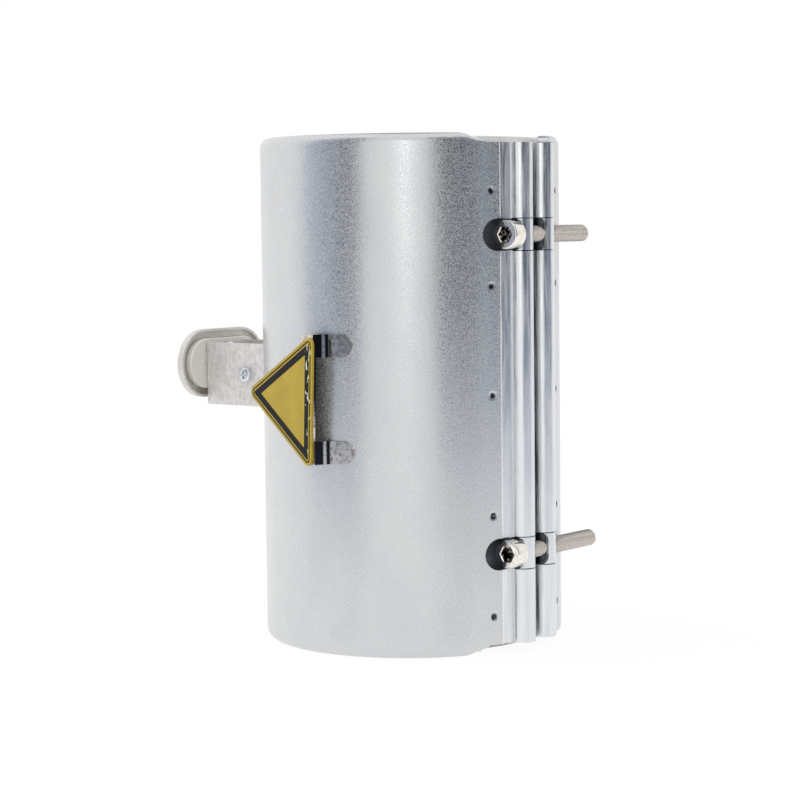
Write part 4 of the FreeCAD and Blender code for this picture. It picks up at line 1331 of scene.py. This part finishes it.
@dataclass
class Studio:
    """White room: a pale floor, soft lamps, a camera and dark cards that only reflections see.

    Lengths are in metres. Turns are measured round the heater from the camera's direction, positive to the
    camera's right. A card's three numbers are the turns of its two sides and its brightness.
    """

    camera_reach: float = 0.82665
    camera_height: float = 0.0622
    camera_turn: float = -52.287
    pitch_down: float = 4.638
    roll: float = 0.63
    focal_px: float = 2267.2
    sensor_mm: float = 36.0
    axis_right_px: float = 11.96
    clip_start: float = 0.01
    ambient: float = 0.75
    glossy_level: float = 0.97
    floor_half: float = 4.0
    floor_colour: str = "#F6F6F4"
    floor_roughness: float = 0.9
    floor_near: float = 0.95
    floor_fade: tuple = (0.15, 0.7)
    floor_mirrored: float = 1.04
    card_reach: float = 0.6
    card_height: float = 1.1
    card_fade: float = 0.11
    card_points: int = 16
    card_tint: str = "#C6D1E6"
    cards: tuple = (
        (17.0, 50.0, 0.15), (50.0, 62.0, 0.5), (62.0, 88.0, 0.2),
        (-84.0, -72.0, 0.85), (-72.0, -60.0, 0.65), (-60.0, -48.0, 0.36), (-48.0, -37.0, 0.22),
        (172.0, 190.0, 0.3),
    )
    lamps: tuple = (
        Lamp("key", -4.0, 16.0, 1.15, 0.16, 0.6, 0.4, mirrored=True),
        Lamp("top", -30.0, 75.0, 1.2, 1.0, 1.0, 7.0),
        Lamp("left", -110.0, 25.0, 1.4, 0.8, 1.0, 9.0),
    )

    def spot(self, turn: float, reach: float, height: float) -> Vector:
        """Point round the heater at a turn from the camera's direction."""
        angle = math.radians(self.camera_turn + turn)
        return Vector((reach * math.cos(angle), reach * math.sin(angle), height))

    def camera(self) -> None:
        """Set the camera at the photograph's place, turned by its pitch and roll."""
        place = self.spot(0, self.camera_reach, self.camera_height)
        flat = -Vector((place.x, place.y, 0)).normalized()
        pitch = math.radians(self.pitch_down)
        ahead = flat * math.cos(pitch) - Vector((0, 0, math.sin(pitch)))
        right = ahead.cross(Vector((0, 0, 1))).normalized()
        up = right.cross(ahead)
        turned = Matrix((right, up, -ahead)).transposed() @ Matrix.Rotation(math.radians(-self.roll), 3, "Z")
        data = bpy.data.cameras.new("camera")
        data.sensor_width = self.sensor_mm
        data.lens = self.focal_px * self.sensor_mm / RENDER_SIZE
        data.shift_x = -self.axis_right_px / RENDER_SIZE
        data.clip_start = self.clip_start
        made = bpy.data.objects.new("camera", data)
        made.matrix_world = Matrix.Translation(place) @ turned.to_4x4()
        bpy.context.scene.collection.objects.link(made)
        bpy.context.scene.camera = made

    def world(self) -> None:
        """White world where the camera sees it, a little darker in reflections and on matt surfaces."""
        made = bpy.data.worlds.new("studio")
        made.use_nodes = True
        tree = made.node_tree
        back = tree.nodes["Background"]
        back.inputs["Color"].default_value = (1, 1, 1, 1)
        path = add_node(tree, "ShaderNodeLightPath").outputs
        glossy = {"To Min": self.ambient, "To Max": self.glossy_level}
        level = add_node(tree, "ShaderNodeMapRange", glossy, {"Value": path["Is Glossy Ray"]}).outputs[0]
        strength = largest(tree, path["Is Camera Ray"], path["Is Transmission Ray"], level)
        tree.links.new(strength, back.inputs["Strength"])
        bpy.context.scene.world = made

    def floor(self) -> None:
        """Pale floor, close to white where it is seen, with the heater's shadow left in near its foot."""
        ground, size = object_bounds()[0][2], self.floor_half
        corners = [(-size, -size, ground), (size, -size, ground), (size, size, ground), (-size, size, ground)]
        mesh = bpy.data.meshes.new("floor")
        mesh.from_pydata(corners, [], [(0, 1, 2, 3)])
        made = new_object("floor", mesh)
        finish = Surface("pale_floor")
        finish.value(Base_Color=linear(self.floor_colour), Roughness=self.floor_roughness)
        tree = finish.tree
        path = add_node(tree, "ShaderNodeLightPath").outputs
        lit = finish.ramp(path["Is Glossy Ray"], 0.0, 1.0, 1.0, self.floor_mirrored)
        glow = add_node(tree, "ShaderNodeEmission", {"Color": (1, 1, 1, 1)}, {"Strength": lit})
        length = {"operation": "LENGTH"}
        reach = add_node(tree, "ShaderNodeVectorMath", length, {0: finish.place}).outputs["Value"]
        seen = largest(tree, path["Is Camera Ray"], path["Is Glossy Ray"], path["Is Transmission Ray"])
        share = finish.maths("MULTIPLY", seen, finish.ramp(reach, *self.floor_fade, self.floor_near, 1.0))
        links = {0: share, 1: finish.shader.outputs[0], 2: glow.outputs[0]}
        blend = add_node(tree, "ShaderNodeMixShader", {}, links)
        tree.links.new(blend.outputs[0], tree.nodes["Material Output"].inputs["Surface"])
        mesh.materials.append(finish.material)
        made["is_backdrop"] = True

    def card(self, name: str, start: float, end: float, level: float) -> None:
        """Make a curved card that only reflections see, as light as the room at its foot.

        Args:
            name: the card's name.
            start: turn of its left side.
            end: turn of its right side.
            level: its brightness above its foot.
        """
        turns, foot = np.linspace(start, end, self.card_points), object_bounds()[0][2]
        heights = (foot, foot + self.card_height)
        mesh = grid_mesh(name, np.array([[self.spot(t, self.card_reach, z) for t in turns] for z in heights]))
        finish = Surface(name)
        tree = finish.tree
        strength = finish.ramp(finish.axes()["Z"], foot, foot + self.card_fade, self.glossy_level, level)
        glow = add_node(tree, "ShaderNodeEmission", {"Color": linear(self.card_tint)}, {"Strength": strength})
        tree.links.new(glow.outputs[0], tree.nodes["Material Output"].inputs["Surface"])
        mesh.materials.append(finish.material)
        made = new_object(name, mesh)
        made.visible_camera = made.visible_diffuse = made.visible_shadow = made.visible_transmission = False
        made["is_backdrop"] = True

    def lamp(self, lamp: Lamp) -> None:
        """Set up a lamp that faces the heater's middle.

        Args:
            lamp: what it is and where it stands.
        """
        data = bpy.data.lights.new(lamp.name, "AREA")
        data.shape = "RECTANGLE"
        data.size, data.size_y, data.energy = lamp.width, lamp.height, lamp.power
        made = bpy.data.objects.new(lamp.name, data)
        lift = math.radians(lamp.lift)
        made.location = self.spot(lamp.turn, lamp.reach * math.cos(lift), lamp.reach * math.sin(lift))
        made.rotation_euler = (-made.location).to_track_quat("-Z", "Y").to_euler()
        made.visible_glossy = lamp.mirrored
        bpy.context.scene.collection.objects.link(made)

    def build(self) -> None:
        """Set up the world, floor, cards, lamps, camera and view."""
        self.world()
        self.floor()
        for number, card in enumerate(self.cards):
            self.card(f"card_{number}", *card)
        for lamp in self.lamps:
            self.lamp(lamp)
        self.camera()
        bpy.context.scene.view_settings.view_transform = "Standard"


def main() -> None:
    """Build the whole heater and its studio."""
    logging.basicConfig(level=logging.INFO, format="%(name)s %(message)s")
    Jacket().build()
    Closure().build()
    Inside().build()
    Terminal().build()
    FinishedNode("sign_bracket", Finish.BRIGHT, "bright_sheet", bevel_mm=0.15).build()
    Sign().build()
    Studio().build()


if __name__ == "__main__":
    main()
